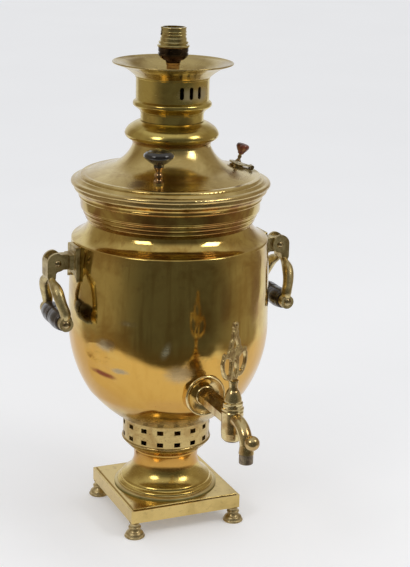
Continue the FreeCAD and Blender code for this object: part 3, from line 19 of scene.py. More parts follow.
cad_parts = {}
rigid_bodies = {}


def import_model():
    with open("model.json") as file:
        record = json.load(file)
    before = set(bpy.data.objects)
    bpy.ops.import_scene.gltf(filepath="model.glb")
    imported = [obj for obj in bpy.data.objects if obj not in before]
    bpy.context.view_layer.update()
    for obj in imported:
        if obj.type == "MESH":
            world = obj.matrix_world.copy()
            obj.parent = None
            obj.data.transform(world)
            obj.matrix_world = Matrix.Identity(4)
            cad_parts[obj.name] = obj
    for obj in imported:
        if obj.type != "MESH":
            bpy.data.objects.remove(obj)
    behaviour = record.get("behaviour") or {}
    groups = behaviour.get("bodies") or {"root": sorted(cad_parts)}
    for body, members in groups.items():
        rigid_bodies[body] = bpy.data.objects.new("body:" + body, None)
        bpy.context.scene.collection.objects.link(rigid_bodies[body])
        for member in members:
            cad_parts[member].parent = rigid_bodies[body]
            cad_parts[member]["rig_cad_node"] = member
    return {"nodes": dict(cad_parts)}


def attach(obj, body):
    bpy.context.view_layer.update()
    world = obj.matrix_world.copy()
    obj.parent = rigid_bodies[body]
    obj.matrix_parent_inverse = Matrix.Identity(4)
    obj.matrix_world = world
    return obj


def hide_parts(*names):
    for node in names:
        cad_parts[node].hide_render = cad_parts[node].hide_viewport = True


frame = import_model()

Pair = tuple[float, float]
Triple = tuple[float, float, float]
Socket = bpy.types.NodeSocket

LOG = logging.getLogger("samovar")
CAMERA_TURN = math.radians(-22.25)
CAMERA_SIDE = Matrix.Rotation(CAMERA_TURN, 3, "Z")


class Slot(Enum):
    """Names of material slots of the record; each spun shell keeps one, but nothing reads it."""

    BRASS = "brass"
    CAST = "cast_brass"


class Side(Enum):
    """Sides of the urn that carry a handle."""

    RIGHT = "right"
    LEFT = "left"


class Graph:
    """Short calls that lay out one node tree."""

    def __init__(self, tree: bpy.types.NodeTree) -> None:
        """Start on an empty tree."""
        self.tree = tree
        tree.nodes.clear()

    def node(self, kind: str, inputs: dict | None = None, **settings: object) -> bpy.types.Node:
        """Add a node.

        Args:
            kind: Type of the node.
            inputs: Values or sockets by the name or number of the input they feed.
            settings: Properties of the node itself.

        Returns:
            The node.
        """
        made = self.tree.nodes.new(kind)
        for name, value in settings.items():
            setattr(made, name, value)
        for key, value in (inputs or {}).items():
            self.feed(made, key, value)
        return made

    def feed(self, node: bpy.types.Node, key: str | int, value: object) -> None:
        """Link a socket to an input, or write a plain value on it."""
        if isinstance(value, bpy.types.NodeSocket):
            self.tree.links.new(value, node.inputs[key])
        else:
            node.inputs[key].default_value = value

    def sum(self, kind: str, first: Socket | float, second: Socket | float) -> Socket:
        """Work out one sum of two numbers, of the kind that the Math node names."""
        return self.node("ShaderNodeMath", {0: first, 1: second}, operation=kind).outputs[0]

    def span(self, value: Socket, low: float, high: float, start: float = 0.0, end: float = 1.0) -> Socket:
        """Rise smoothly from start to end while the value goes from low to high."""
        inputs = {"Value": value, "From Min": low, "From Max": high, "To Min": start, "To Max": end}
        made = self.node("ShaderNodeMapRange", inputs, interpolation_type="SMOOTHSTEP")
        return made.outputs[0]

    def noise(
        self, where: Socket, size: float, detail: float = 3.0, rough: float = 0.55, bend: float = 0.0
    ) -> Socket:
        """Give cloudy noise.

        Args:
            where: Coordinates of the noise.
            size: Width of its clouds in metres.
            detail: Octaves of finer clouds.
            rough: Strength of the finer clouds.
            bend: How far the clouds are pulled out of shape.

        Returns:
            The noise, mostly from 0.3 to 0.7.
        """
        inputs = {"Vector": where, "Scale": 1.0 / size, "Detail": detail}
        inputs |= {"Roughness": rough, "Distortion": bend}
        return self.node("ShaderNodeTexNoise", inputs).outputs[0]

    def stretched(self, where: Socket, scale: Triple) -> Socket:
        """Scale coordinates along each axis."""
        return self.node("ShaderNodeMapping", {"Vector": where, "Scale": scale}).outputs[0]

    def blend(self, share: Socket | float, under: Socket | Triple, over: Socket | Triple) -> Socket:
        """Mix two colours, the second one by its share."""
        inputs = {0: share, 6: self.paint(under), 7: self.paint(over)}
        return self.node("ShaderNodeMix", inputs, data_type="RGBA").outputs[2]

    @staticmethod
    def paint(colour: Socket | Triple) -> object:
        """Give a colour in the form that a colour socket takes."""
        return colour if isinstance(colour, bpy.types.NodeSocket) else (*colour, 1.0)


@dataclass(frozen=True)
class Mark:
    """One stain, worn spot, dent, painted shadow or painted reflection at a place on a surface."""

    EDGE_WIDTH: ClassVar[float] = 0.006
    CORE: ClassVar[float] = 0.25

    at: Triple
    reach: Triple
    colour: Triple = (0.1, 0.05, 0.03)
    cover: float = 0.0
    dull: float = 0.0
    depth: float = 0.0
    turn: Triple = (0.0, 0.0, 0.0)
    ragged: float = 0.5

    def share(self, graph: Graph, where: Socket) -> Socket:
        """Give 1 in the middle of the mark and 0 outside it.

        Args:
            graph: Tree of the material.
            where: Coordinates of the surface.

        Returns:
            The share of the mark.
        """
        inputs = {"Vector": where, "Location": self.at, "Rotation": self.turn, "Scale": self.reach}
        local = graph.node("ShaderNodeMapping", inputs, vector_type="TEXTURE").outputs[0]
        far = graph.node("ShaderNodeVectorMath", {0: local}, operation="LENGTH").outputs["Value"]
        edge = graph.noise(where, self.EDGE_WIDTH, 4.0, 0.6)
        moved = graph.sum("ADD", far, graph.sum("MULTIPLY", graph.sum("SUBTRACT", edge, 0.5), self.ragged))
        return graph.span(moved, self.CORE, 1.0, 1.0, 0.0)


@dataclass(frozen=True)
class Belt:
    """A belt of other colour round a turned piece, between two heights."""

    EDGE_WIDTH: ClassVar[float] = 0.015

    low: float
    high: float
    colour: Triple
    cover: float
    soft: float = 0.004
    dull: float = 0.0

    def share(self, graph: Graph, where: Socket) -> Socket:
        """Give 1 inside the belt and 0 outside it, with an uneven edge."""
        height = graph.node("ShaderNodeSeparateXYZ", {0: where}).outputs["Z"]
        uneven = graph.sum("SUBTRACT", graph.noise(where, self.EDGE_WIDTH, 4.0), 0.5)
        level = graph.sum("ADD", height, graph.sum("MULTIPLY", uneven, 2.0 * self.soft))
        rise = graph.span(level, self.low - self.soft, self.low + self.soft)
        fall = graph.span(level, self.high - self.soft, self.high + self.soft, 1.0, 0.0)
        return graph.sum("MULTIPLY", rise, fall)


class Finish(Protocol):
    """What every finish can do."""

    name: str

    def material(self) -> bpy.types.Material:
        """Build the finish's material."""


def fresh_material(name: str) -> tuple[bpy.types.Material, Graph, Socket]:
    """Start a material.

    Args:
        name: Name of the material.

    Returns:
        The material, its empty graph, and the coordinates of the surface.
    """
    material = bpy.data.materials.new(name)
    material.use_nodes = True
    graph = Graph(material.node_tree)
    return material, graph, graph.node("ShaderNodeTexCoord").outputs["Object"]


def finish_shader(graph: Graph, **sockets: object) -> None:
    """Close a material with its shader; the sockets are named with _ for a space."""
    inputs = {name.replace("_", " "): value for name, value in sockets.items()}
    shader = graph.node("ShaderNodeBsdfPrincipled", inputs)
    graph.node("ShaderNodeOutputMaterial", {"Surface": shader.outputs[0]})


@dataclass(frozen=True)
class Brass:
    """Brass with the haze, tarnish, stains and small dents of long use; on some pieces its belts and marks
    also lay painted reflections and a painted shadow.
    """

    FINE_SHARE: ClassVar[float] = 0.13
    TURNING_LINES: ClassVar[Triple] = (6.0, 6.0, 900.0)
    LINE_ROUGHNESS: ClassVar[float] = 0.05
    RUN_DOWN: ClassVar[Triple] = (95.0, 95.0, 7.0)
    RUN_SPAN: ClassVar[Pair] = (0.48, 0.68)
    SPECKLE_SPAN: ClassVar[Pair] = (0.57, 0.68)
    SPECKLE_ROUGHNESS: ClassVar[float] = 0.2
    WOBBLE_WIDTH: ClassVar[float] = 0.085
    LEAST_ROUGHNESS: ClassVar[float] = 0.02

    name: str
    bright: Triple
    tarnish: Triple
    stain: Triple = (0.10, 0.055, 0.03)
    level: float = 0.52
    edge: float = 0.14
    cloud: float = 0.05
    roughness: float = 0.15
    haze: float = 0.14
    streaks: float = 0.0
    speckle: float = 0.0
    wobble: float = 0.0
    grain: float = 0.0
    grain_size: float = 0.0012
    belts: tuple[Belt, ...] = ()
    marks: tuple[Mark, ...] = ()

    def material(self) -> bpy.types.Material:
        """Build clouds of tarnish, turning lines, stains, painted reflections and shadow, and relief over
        polished brass.
        """
        material, graph, where = fresh_material(self.name)
        clouds = graph.noise(where, self.cloud, 6.0, 0.6, 0.5)
        colour = graph.blend(
            graph.span(clouds, self.level - self.edge, self.level + self.edge), self.bright, self.tarnish
        )
        fine = graph.noise(where, self.cloud * self.FINE_SHARE, 5.0, 0.65)
        rough = graph.sum("ADD", graph.sum("MULTIPLY", fine, self.haze), self.roughness - 0.5 * self.haze)
        lines = graph.noise(graph.stretched(where, self.TURNING_LINES), 1.0, 2.0)
        rough = graph.sum("ADD", rough, graph.span(lines, 0.35, 0.7, 0.0, self.LINE_ROUGHNESS))
        if self.streaks:
            down = graph.noise(graph.stretched(where, self.RUN_DOWN), 1.0, 5.0, 0.6, 0.3)
            share = graph.sum("MULTIPLY", graph.span(down, *self.RUN_SPAN), self.streaks)
            colour = graph.blend(share, colour, self.tarnish)
        if self.speckle:
            share = graph.sum("MULTIPLY", graph.span(fine, *self.SPECKLE_SPAN), self.speckle)
            colour = graph.blend(share, colour, self.stain)
            rough = graph.sum("ADD", rough, graph.sum("MULTIPLY", share, self.SPECKLE_ROUGHNESS))
        relief = graph.sum("MULTIPLY", graph.noise(where, self.WOBBLE_WIDTH, 2.0), self.wobble)
        if self.grain:
            skin = graph.sum("MULTIPLY", graph.noise(where, self.grain_size, 4.0), self.grain)
            relief = graph.sum("ADD", relief, skin)
        # Belts and marks lay stains, bloom and dents, and on some pieces painted reflections and a painted
        # shadow.
        for place in (*self.belts, *self.marks):
            share = place.share(graph, where)
            if place.cover:
                colour = graph.blend(graph.sum("MULTIPLY", share, place.cover), colour, place.colour)
            if place.dull:
                rough = graph.sum("ADD", rough, graph.sum("MULTIPLY", share, place.dull))
            if isinstance(place, Mark) and place.depth:
                relief = graph.sum("SUBTRACT", relief, graph.sum("MULTIPLY", share, place.depth))
        bump = graph.node("ShaderNodeBump", {"Strength": 1.0, "Distance": 1.0, "Height": relief})
        rough = graph.span(rough, self.LEAST_ROUGHNESS, 1.0, self.LEAST_ROUGHNESS, 1.0)
        finish_shader(graph, Base_Color=colour, Metallic=1.0, Roughness=rough, Normal=bump.outputs[0])
        return material


@dataclass(frozen=True)
class TurnedWood:
    """Dark turned wood under a worn glossy polish."""

    WEAR_WIDTH: ClassVar[float] = 0.009
    WEAR_COVER: ClassVar[float] = 0.35
    WEAR_ROUGHNESS: ClassVar[float] = 0.2
    WORN_PALER: ClassVar[float] = 1.8
    POLISH_ROUGHNESS: ClassVar[float] = 0.12
    PORE_DEPTH: ClassVar[float] = 0.00006

    name: str
    dark: Triple
    light: Triple
    along: Triple = (40.0, 400.0, 400.0)
    roughness: float = 0.32
    polish: float = 0.5
    belts: tuple[Belt, ...] = ()

    def material(self) -> bpy.types.Material:
        """Build long grain, pale wear and a polish coat."""
        material, graph, where = fresh_material(self.name)
        grain = graph.noise(graph.stretched(where, self.along), 1.0, 6.0, 0.6, 0.8)
        wear = graph.span(graph.noise(where, self.WEAR_WIDTH, 4.0), 0.52, 0.72)
        colour = graph.blend(graph.span(grain, 0.35, 0.7), self.dark, self.light)
        worn = tuple(self.WORN_PALER * c for c in self.light)
        colour = graph.blend(graph.sum("MULTIPLY", wear, self.WEAR_COVER), colour, worn)
        for belt in self.belts:
            share = graph.sum("MULTIPLY", belt.share(graph, where), belt.cover)
            colour = graph.blend(share, colour, belt.colour)
        rough = graph.sum("ADD", graph.sum("MULTIPLY", wear, self.WEAR_ROUGHNESS), self.roughness)
        bump = graph.node("ShaderNodeBump", {"Strength": 1.0, "Distance": self.PORE_DEPTH, "Height": grain})
        polish = {"Coat_Weight": self.polish, "Coat_Roughness": self.POLISH_ROUGHNESS}
        finish_shader(graph, Base_Color=colour, Roughness=rough, Normal=bump.outputs[0], **polish)
        return material


@dataclass(frozen=True)
class FiredIron:
    """Iron that has stood in a charcoal fire: grey scale, rust and pale ash."""

    PATCH_WIDTH: ClassVar[float] = 0.02
    DUST_WIDTH: ClassVar[float] = 0.004
    SCALE_WIDTH: ClassVar[float] = 0.002
    SCALE_DEPTH: ClassVar[float] = 0.0004

    name: str
    scale: Triple = (0.06, 0.055, 0.05)
    rust: Triple = (0.17, 0.065, 0.025)
    ash: Triple = (0.30, 0.28, 0.26)

    def material(self) -> bpy.types.Material:
        """Build scale with patches of rust and a dusting of ash."""
        material, graph, where = fresh_material(self.name)
        patches = graph.span(graph.noise(where, self.PATCH_WIDTH, 6.0, 0.65), 0.45, 0.62)
        dust = graph.span(graph.noise(where, self.DUST_WIDTH, 5.0), 0.55, 0.75, 0.0, 0.5)
        colour = graph.blend(dust, graph.blend(patches, self.scale, self.rust), self.ash)
        crust = graph.noise(where, self.SCALE_WIDTH, 5.0)
        bump = graph.node("ShaderNodeBump", {"Distance": self.SCALE_DEPTH, "Height": crust})
        rough = graph.sum("ADD", graph.sum("MULTIPLY", patches, 0.3), 0.5)
        finish_shader(graph, Base_Color=colour, Metallic=0.55, Roughness=rough, Normal=bump.outputs[0])
        return material


@dataclass(frozen=True)
class Moulded:
    """A hard moulded insulator with faint clouds and dust in its pores."""

    CLOUD_WIDTH: ClassVar[float] = 0.004
    PORE_WIDTH: ClassVar[float] = 0.0007
    PORE_DEPTH: ClassVar[float] = 0.00008

    name: str
    body: Triple
    dust: Triple
    roughness: float = 0.38

    def material(self) -> bpy.types.Material:
        """Build clouds, dust and a fine orange-peel relief."""
        material, graph, where = fresh_material(self.name)
        clouds = graph.span(graph.noise(where, self.CLOUD_WIDTH, 5.0), 0.4, 0.7, 0.0, 0.6)
        pores = graph.noise(where, self.PORE_WIDTH, 3.0)
        bump = graph.node("ShaderNodeBump", {"Distance": self.PORE_DEPTH, "Height": pores})
        rough = graph.sum("ADD", graph.sum("MULTIPLY", clouds, 0.25), self.roughness)
        colour = graph.blend(clouds, self.body, self.dust)
        finish_shader(graph, Base_Color=colour, Roughness=rough, Normal=bump.outputs[0])
        return material


@dataclass(frozen=True)
class DrawnSteel:
    """Drawn spring wire with die lines and a little oil-brown."""

    CLOUD_WIDTH: ClassVar[float] = 0.0015
    DIE_LINES: ClassVar[Triple] = (3000.0, 3000.0, 300.0)

    name: str
    steel: Triple = (0.46, 0.46, 0.47)
    brown: Triple = (0.24, 0.19, 0.14)

    def material(self) -> bpy.types.Material:
        """Build die lines and brown clouds over steel."""
        material, graph, where = fresh_material(self.name)
        clouds = graph.span(graph.noise(where, self.CLOUD_WIDTH, 4.0), 0.5, 0.7)
        lines = graph.noise(graph.stretched(where, self.DIE_LINES), 1.0, 2.0)
        rough = graph.sum("ADD", graph.sum("MULTIPLY", lines, 0.25), 0.2)
        colour = graph.blend(clouds, self.steel, self.brown)
        finish_shader(graph, Base_Color=colour, Metallic=1.0, Roughness=rough)
        return material


RED_SLASH = (0.22, 0.05, 0.020)
GREY_BLOOM = (0.42, 0.36, 0.24)
PALE_SMEAR = (0.80, 0.72, 0.48)
VERDIGRIS = (0.30, 0.40, 0.28)

BODY = Brass(
    "polished_body_brass", (0.72, 0.54, 0.175), (0.46, 0.28, 0.070), (0.16, 0.07, 0.03),
    level=0.55, cloud=0.060, roughness=0.17, haze=0.14, streaks=0.55, speckle=0.16, wobble=0.0030,
    belts=(
        # Orange band on the lower body: a painted reflection.
        Belt(0.140, 0.226, (0.66, 0.36, 0.070), 0.80, 0.016, 0.02),
        Belt(0.112, 0.135, GREY_BLOOM, 0.45, 0.008, 0.16),
        # Thin red-brown band at the shoulder's edge: a painted reflection under the lamps' highlights.
        Belt(0.315, 0.3235, (0.40, 0.24, 0.07), 0.15, 0.003, 0.05),
    ),
    marks=(
        Mark((-0.0991, -0.0480, 0.2130), (0.017, 0.026, 0.013), depth=0.0012, ragged=0.15),
        Mark((-0.0942, -0.0503, 0.1910), (0.026, 0.026, 0.022), depth=0.0018, ragged=0.15),
        Mark(
            (-0.0942, -0.0503, 0.1910), (0.020, 0.026, 0.0046), RED_SLASH, 0.95, 0.12, turn=(0.0, 0.22, 0.0)
        ),
        Mark((-0.0827, -0.0697, 0.1985), (0.014, 0.014, 0.0045), GREY_BLOOM, 0.8, 0.22),
        Mark((-0.0945, -0.0572, 0.2255), (0.014, 0.017, 0.0090), GREY_BLOOM, 0.7, 0.20),
        Mark((-0.0910, -0.0627, 0.2285), (0.009, 0.011, 0.0060), (0.22, 0.13, 0.05), 0.75, 0.10),
        Mark((-0.0713, -0.0722, 0.2531), (0.016, 0.016, 0.0055), GREY_BLOOM, 0.75, 0.16),
        Mark(
            (-0.0430, -0.0990, 0.2270), (0.006, 0.014, 0.0130), PALE_SMEAR, 0.9, 0.16, turn=(0.0, 0.35, 0.0)
        ),
        Mark((-0.0274, -0.1052, 0.2004), (0.024, 0.020, 0.0160), GREY_BLOOM, 0.55, 0.16),
        Mark((-0.0100, -0.1050, 0.2050), (0.020, 0.020, 0.0200), depth=0.0006, ragged=0.1),
        Mark((0.0350, -0.0980, 0.2100), (0.030, 0.030, 0.0240), (0.36, 0.18, 0.055), 0.6, 0.06),
        # Two tall reddish-brown streaks on the right of the body: painted reflections.
        Mark((0.0623, -0.0905, 0.2690), (0.012, 0.016, 0.0420), (0.30, 0.13, 0.045), 0.5, 0.06),
        Mark((0.0200, -0.1080, 0.2750), (0.010, 0.016, 0.0380), (0.32, 0.16, 0.050), 0.45, 0.05),
        Mark((-0.0367, -0.0856, 0.1600), (0.034, 0.034, 0.0120), (0.58, 0.32, 0.09), 0.5, 0.10),
    ),
)
LID = Brass(
    "hazy_lid_brass", (0.70, 0.54, 0.22), (0.47, 0.32, 0.10), (0.20, 0.11, 0.05),
    level=0.56, cloud=0.045, roughness=0.27, haze=0.05, streaks=0.15, speckle=0.10, wobble=0.0010,
    belts=(
        Belt(0.3795, 0.3860, (0.60, 0.44, 0.20), 0.6, 0.0015),
        Belt(0.4270, 0.4330, (0.40, 0.20, 0.07), 0.6, 0.002, 0.05),
    ),
    marks=(
        # Dark patch on the lid beside the front knob: the knob's painted shadow.
        Mark((-0.0606, -0.0593, 0.3998), (0.017, 0.017, 0.012), (0.13, 0.075, 0.035), 0.8, 0.1),
        Mark((0.088, -0.016, 0.398), (0.020, 0.020, 0.010), (0.36, 0.36, 0.28), 0.55, 0.25),
        Mark((0.060, -0.060, 0.400), (0.022, 0.022, 0.008), (0.62, 0.50, 0.30), 0.5, 0.1),
    ),
)
PEDESTAL = Brass(
    "pedestal_brass", (0.70, 0.52, 0.16), (0.46, 0.30, 0.075), (0.18, 0.09, 0.04),
    level=0.55, cloud=0.04, roughness=0.27, haze=0.10, streaks=0.12, speckle=0.15, wobble=0.0005,
    belts=(
        # Orange-brown band round the top of the pedestal: painted reflection of the air ring and the urn
        # above it.
        Belt(0.0600, 0.0780, (0.58, 0.29, 0.06), 0.80, 0.002),
        Belt(0.0330, 0.0352, VERDIGRIS, 0.6, 0.0006, 0.3),
        Belt(0.0352, 0.0375, (0.70, 0.62, 0.40), 0.4, 0.0008, 0.1),
    ),
)
CORNICE = Brass(
    "cornice_brass", (0.64, 0.48, 0.14), (0.36, 0.18, 0.050), (0.10, 0.045, 0.025),
    level=0.50, cloud=0.05, roughness=0.20, haze=0.06, streaks=0.10, speckle=0.14, wobble=0.0004,
    belts=(Belt(0.3765, 0.3815, (0.62, 0.48, 0.24), 0.5, 0.0008, 0.1),),
)
COLLAR = Brass(
    "collar_brass", (0.70, 0.55, 0.17), (0.48, 0.33, 0.09), (0.16, 0.09, 0.04),
    level=0.55, cloud=0.035, roughness=0.27, haze=0.06, streaks=0.20, speckle=0.12, wobble=0.0004,
    marks=(
        Mark((0.018, -0.034, 0.482), (0.016, 0.016, 0.011), (0.60, 0.54, 0.38), 0.8, 0.25),
        Mark((0.002, -0.038, 0.482), (0.014, 0.014, 0.011), (0.56, 0.50, 0.34), 0.7, 0.25),
    ),
)
DISH = Brass(
    "dish_brass", (0.60, 0.47, 0.20), (0.42, 0.30, 0.11), (0.18, 0.10, 0.05),
    level=0.53, cloud=0.03, roughness=0.27, haze=0.10, speckle=0.20, wobble=0.0003,
)
BASE = Brass(
    "satin_base_brass", (0.70, 0.52, 0.20), (0.50, 0.36, 0.125), (0.20, 0.12, 0.05),
    level=0.60, cloud=0.05, roughness=0.22, haze=0.16, speckle=0.25, wobble=0.0003,
)
FOOT = Brass(
    "cast_foot_brass", (0.64, 0.51, 0.27), (0.36, 0.27, 0.13), (0.10, 0.08, 0.05),
    level=0.52, cloud=0.010, roughness=0.38, haze=0.20, speckle=0.45, grain=0.00010,
)
GALLERY = Brass(
    "gallery_brass", (0.58, 0.43, 0.175), (0.40, 0.255, 0.09), (0.10, 0.06, 0.035),
    level=0.52, cloud=0.018, roughness=0.28, haze=0.18, speckle=0.40, grain=0.00003,
)
CAST = Brass(
    "cast_handle_brass", (0.66, 0.54, 0.27), (0.38, 0.28, 0.12), (0.09, 0.065, 0.035),
    level=0.52, cloud=0.012, roughness=0.40, haze=0.20, speckle=0.50, grain=0.00014, grain_size=0.0022,
)
TAP = Brass(
    "tap_brass", (0.72, 0.58, 0.29), (0.46, 0.30, 0.12), (0.13, 0.09, 0.045),
    level=0.50, cloud=0.016, roughness=0.27, haze=0.18, speckle=0.35, grain=0.00006, grain_size=0.0020,
)
ESCUTCHEON = Brass(
    "escutcheon_brass", (0.82, 0.66, 0.34), (0.60, 0.42, 0.17), level=0.52, cloud=0.02,
    roughness=0.24, haze=0.12, speckle=0.20, wobble=0.0003,
)
KEY = Brass(
    "key_brass", (0.72, 0.57, 0.27), (0.40, 0.27, 0.11), (0.07, 0.05, 0.03),
    level=0.50, cloud=0.006, roughness=0.26, haze=0.16, speckle=0.35, grain=0.00008, grain_size=0.0018,
)
NOZZLE = Brass(
    "limed_nozzle_brass", (0.42, 0.35, 0.23), (0.17, 0.13, 0.09), (0.045, 0.035, 0.028),
    level=0.48, cloud=0.008, roughness=0.38, haze=0.25, speckle=0.70, grain=0.00018, grain_size=0.0016,
)
BARREL = Brass(
    "holder_brass", (0.66, 0.55, 0.25), (0.44, 0.33, 0.13), (0.16, 0.11, 0.05),
    level=0.54, cloud=0.008, roughness=0.26, haze=0.14, speckle=0.25, grain=0.00001,
)
CAP = Brass(
    "dark_cap_brass", (0.090, 0.060, 0.038), (0.035, 0.024, 0.016), (0.30, 0.20, 0.10),
    level=0.50, cloud=0.010, roughness=0.24, haze=0.16, speckle=0.35,
)
STEM = Brass(
    "coppery_stem_brass", (0.60, 0.38, 0.18), (0.30, 0.17, 0.075), (0.10, 0.05, 0.03),
    level=0.50, cloud=0.008, roughness=0.20, haze=0.14, speckle=0.35,
)
DULL = Brass(
    "dull_fitting_brass", (0.48, 0.38, 0.20), (0.26, 0.18, 0.09), (0.08, 0.05, 0.03),
    level=0.50, cloud=0.008, roughness=0.32, haze=0.20, speckle=0.45, grain=0.00004,
)
# Very pale, cream-toned brass for the vent's flap.
FLAP = Brass(
    "pale_flap_brass", (0.88, 0.83, 0.66), (0.66, 0.60, 0.44), (0.42, 0.46, 0.34),
    level=0.52, cloud=0.007, roughness=0.55, haze=0.20, speckle=0.60, grain=0.00004,
)
GRIP = TurnedWood("black_grip_wood", (0.012, 0.008, 0.006), (0.050, 0.028, 0.018), (400.0, 40.0, 400.0))
KNOB = TurnedWood(
    "black_knob_wood", (0.006, 0.005, 0.005), (0.016, 0.012, 0.010), (400.0, 400.0, 60.0), 0.16, 0.9
)
VENT_KNOB = TurnedWood(
    "red_knob_wood", (0.10, 0.022, 0.012), (0.24, 0.060, 0.025), (400.0, 400.0, 60.0), 0.28, 0.6,
    belts=(Belt(0.4225, 0.4400, (0.03, 0.012, 0.010), 0.8, 0.0015),),
)
IRON = FiredIron("fired_iron")
SOOT = FiredIron("sooty_flue", (0.035, 0.032, 0.030), (0.09, 0.05, 0.03), (0.16, 0.15, 0.14))
BLOCK = Moulded("contact_block_moulding", (0.66, 0.62, 0.54), (0.40, 0.34, 0.26))
SPRING = DrawnSteel("spring_wire")


class Palette:
    """Builds each finish's material once and hands it out again."""

    made: dict[str, bpy.types.Material] = {}

    @classmethod
    def of(cls, finish: Finish) -> bpy.types.Material:
        """Give the material of a finish."""
        if finish.name not in cls.made:
            cls.made[finish.name] = finish.material()
        return cls.made[finish.name]


@dataclass
class SpunShell:
    """A turned shell, spun again in fine steps from the section of its solid."""

    ON_PLANE: ClassVar[float] = 2e-7
    OFF_AXIS: ClassVar[float] = 1e-4
    MOST_PARTS: ClassVar[int] = 6

    node: str
    name: str
    body: str
    slot: Slot
    turns: int = 144
    corner: float = 0.42
    step: float = 0.045

    def seam(self) -> list[Vector]:
        """Read the closed section of the solid in the plane y = 0.

        Returns:
            The section's corners in order, as radius and height, or nothing where it doesn't close.
        """
        mesh = frame["nodes"][self.node].data
        joined: dict[tuple[float, float], set[tuple[float, float]]] = defaultdict(set)
        for edge in mesh.edges:
            ends = [mesh.vertices[i].co for i in edge.vertices]
            if all(abs(end.y) < self.ON_PLANE and end.x > self.OFF_AXIS for end in ends):
                first, second = ((round(end.x, 6), round(end.z, 6)) for end in ends)
                if first != second:
                    joined[first].add(second)
                    joined[second].add(first)
        if len(joined) < 4 or any(len(others) != 2 for others in joined.values()):
            return []
        start = max(joined)
        walk, before, here = [start], start, min(joined[start])
        while here != start:
            walk.append(here)
            before, here = here, next(other for other in joined[here] if other != before)
        return [Vector(point) for point in walk] if len(walk) == len(joined) else []

    def section(self) -> tuple[list[Vector], set[int]]:
        """Round the runs of the section between its true corners.

        Returns:
            The finer section, and the numbers of its points that are true corners.
        """
        seam = self.seam()
        count = len(seam)
        if not count:
            return [], set()
        runs = [seam[(i + 1) % count] - seam[i] for i in range(count)]
        sharp = [abs(runs[i - 1].angle_signed(runs[i])) > self.corner for i in range(count)]
        fine: list[Vector] = []
        corners: set[int] = set()
        for i in range(count):
            after = (i + 1) % count
            run = runs[i]
            if sharp[i]:
                corners.add(len(fine))
            leave = run.normalized() if sharp[i] else (runs[i - 1] + run).normalized()
            reach = run.normalized() if sharp[after] else (run + runs[after]).normalized()
            parts = max(1, min(self.MOST_PARTS, math.ceil(leave.angle(reach) / self.step)))
            for k in range(parts):
                t = k / parts
                bend = run.length * (t * (1 - t) ** 2 * leave - t * t * (1 - t) * reach)
                fine.append(seam[i] + (3 * t * t - 2 * t**3) * run + bend)
        return fine, corners

    def build(self, finish: Finish) -> bool:
        """Spin the section and put the shell in the solid's place.

        Args:
            finish: Finish of the shell.

        Returns:
            Whether the section was found; the solid stays shown where it wasn't.
        """
        points, corners = self.section()
        if not points:
            LOG.info("%s keeps its solid", self.node)
            return False
        work = bmesh.new()
        rings = []
        for point in points:
            angles = (2 * math.pi * k / self.turns for k in range(self.turns))
            around = ((point.x * math.cos(a), point.x * math.sin(a), point.y) for a in angles)
            rings.append([work.verts.new(place) for place in around])
        for i, ring in enumerate(rings):
            above = rings[(i + 1) % len(rings)]
            for k in range(self.turns):
                n = (k + 1) % self.turns
                face = work.faces.new((ring[k], ring[n], above[n], above[k]))
                face.smooth = True
        for i in corners:
            for k in range(self.turns):
                edge = work.edges.get((rings[i][k], rings[i][(k + 1) % self.turns]))
                edge.smooth = False
        bmesh.ops.recalc_face_normals(work, faces=work.faces)
        mesh = bpy.data.meshes.new(self.name)
        work.to_mesh(mesh)
        work.free()
        mesh.materials.append(Palette.of(finish))
        shell = bpy.data.objects.new(self.name, mesh)
        bpy.context.scene.collection.objects.link(shell)
        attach(shell, self.body)
        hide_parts(self.node)
        LOG.info("%s spun from %s, %d rings", self.name, self.node, len(rings))
        return True


@dataclass
class Casting:
    """A cast piece over its solid, with the rounded edges that a worn casting has."""

    node: str
    name: str
    body: str
    grid: float = 0.00045
    rounds: int = 5

    def build(self, finish: Finish) -> None:
        """Round a copy of the solid and put it in the solid's place.

        Args:
            finish: Finish of the casting.
        """
        piece = bpy.data.objects.new(self.name, frame["nodes"][self.node].data.copy())
        bpy.context.scene.collection.objects.link(piece)
        skin = piece.modifiers.new("skin", "REMESH")
        skin.mode = "VOXEL"
        skin.voxel_size = self.grid
        skin.use_smooth_shade = True
        wear = piece.modifiers.new("wear", "SMOOTH")
        wear.factor = 0.5
        wear.iterations = self.rounds
        shaped = piece.evaluated_get(bpy.context.evaluated_depsgraph_get())
        mesh = bpy.data.meshes.new_from_object(shaped)
        piece.modifiers.clear()
        piece.data = mesh
        mesh.name = self.name
        mesh.materials.clear()
        mesh.materials.append(Palette.of(finish))
        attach(piece, self.body)
        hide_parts(self.node)
        LOG.info("%s cast over %s, %d faces", self.name, self.node, len(mesh.polygons))


class SubAssembly:
    """Steps that the sub-assemblies share."""

    dressed: set[str] = set()

    def dress(self, finish: Finish, *nodes: str) -> None:
        """Give solids their finish.

        Args:
            finish: Finish of the solids.
            nodes: Names of the solids.
        """
        material = Palette.of(finish)
        for name in nodes:
            node = frame["nodes"][name]
            if not node.material_slots:
                node.data.materials.append(material)
            for place in node.material_slots:
                place.material = material
            self.dressed.add(name)
            LOG.info("%s dressed in %s", name, finish.name)

    def spin(self, finish: Finish, node: str, name: str, body: str, slot: Slot) -> None:
        """Dress a turned solid, and spin it again where its section can be read.

        Args:
            finish: Finish of the shell.
            node: Name of the solid.
            name: Name of the new shell.
            body: Body that the shell rides on.
            slot: Material slot of the shell; not used.
        """
        self.dress(finish, node)
        SpunShell(node, name, body, slot).build(finish)

    def build(self) -> None:
        """Build and dress the sub-assembly."""
        raise NotImplementedError


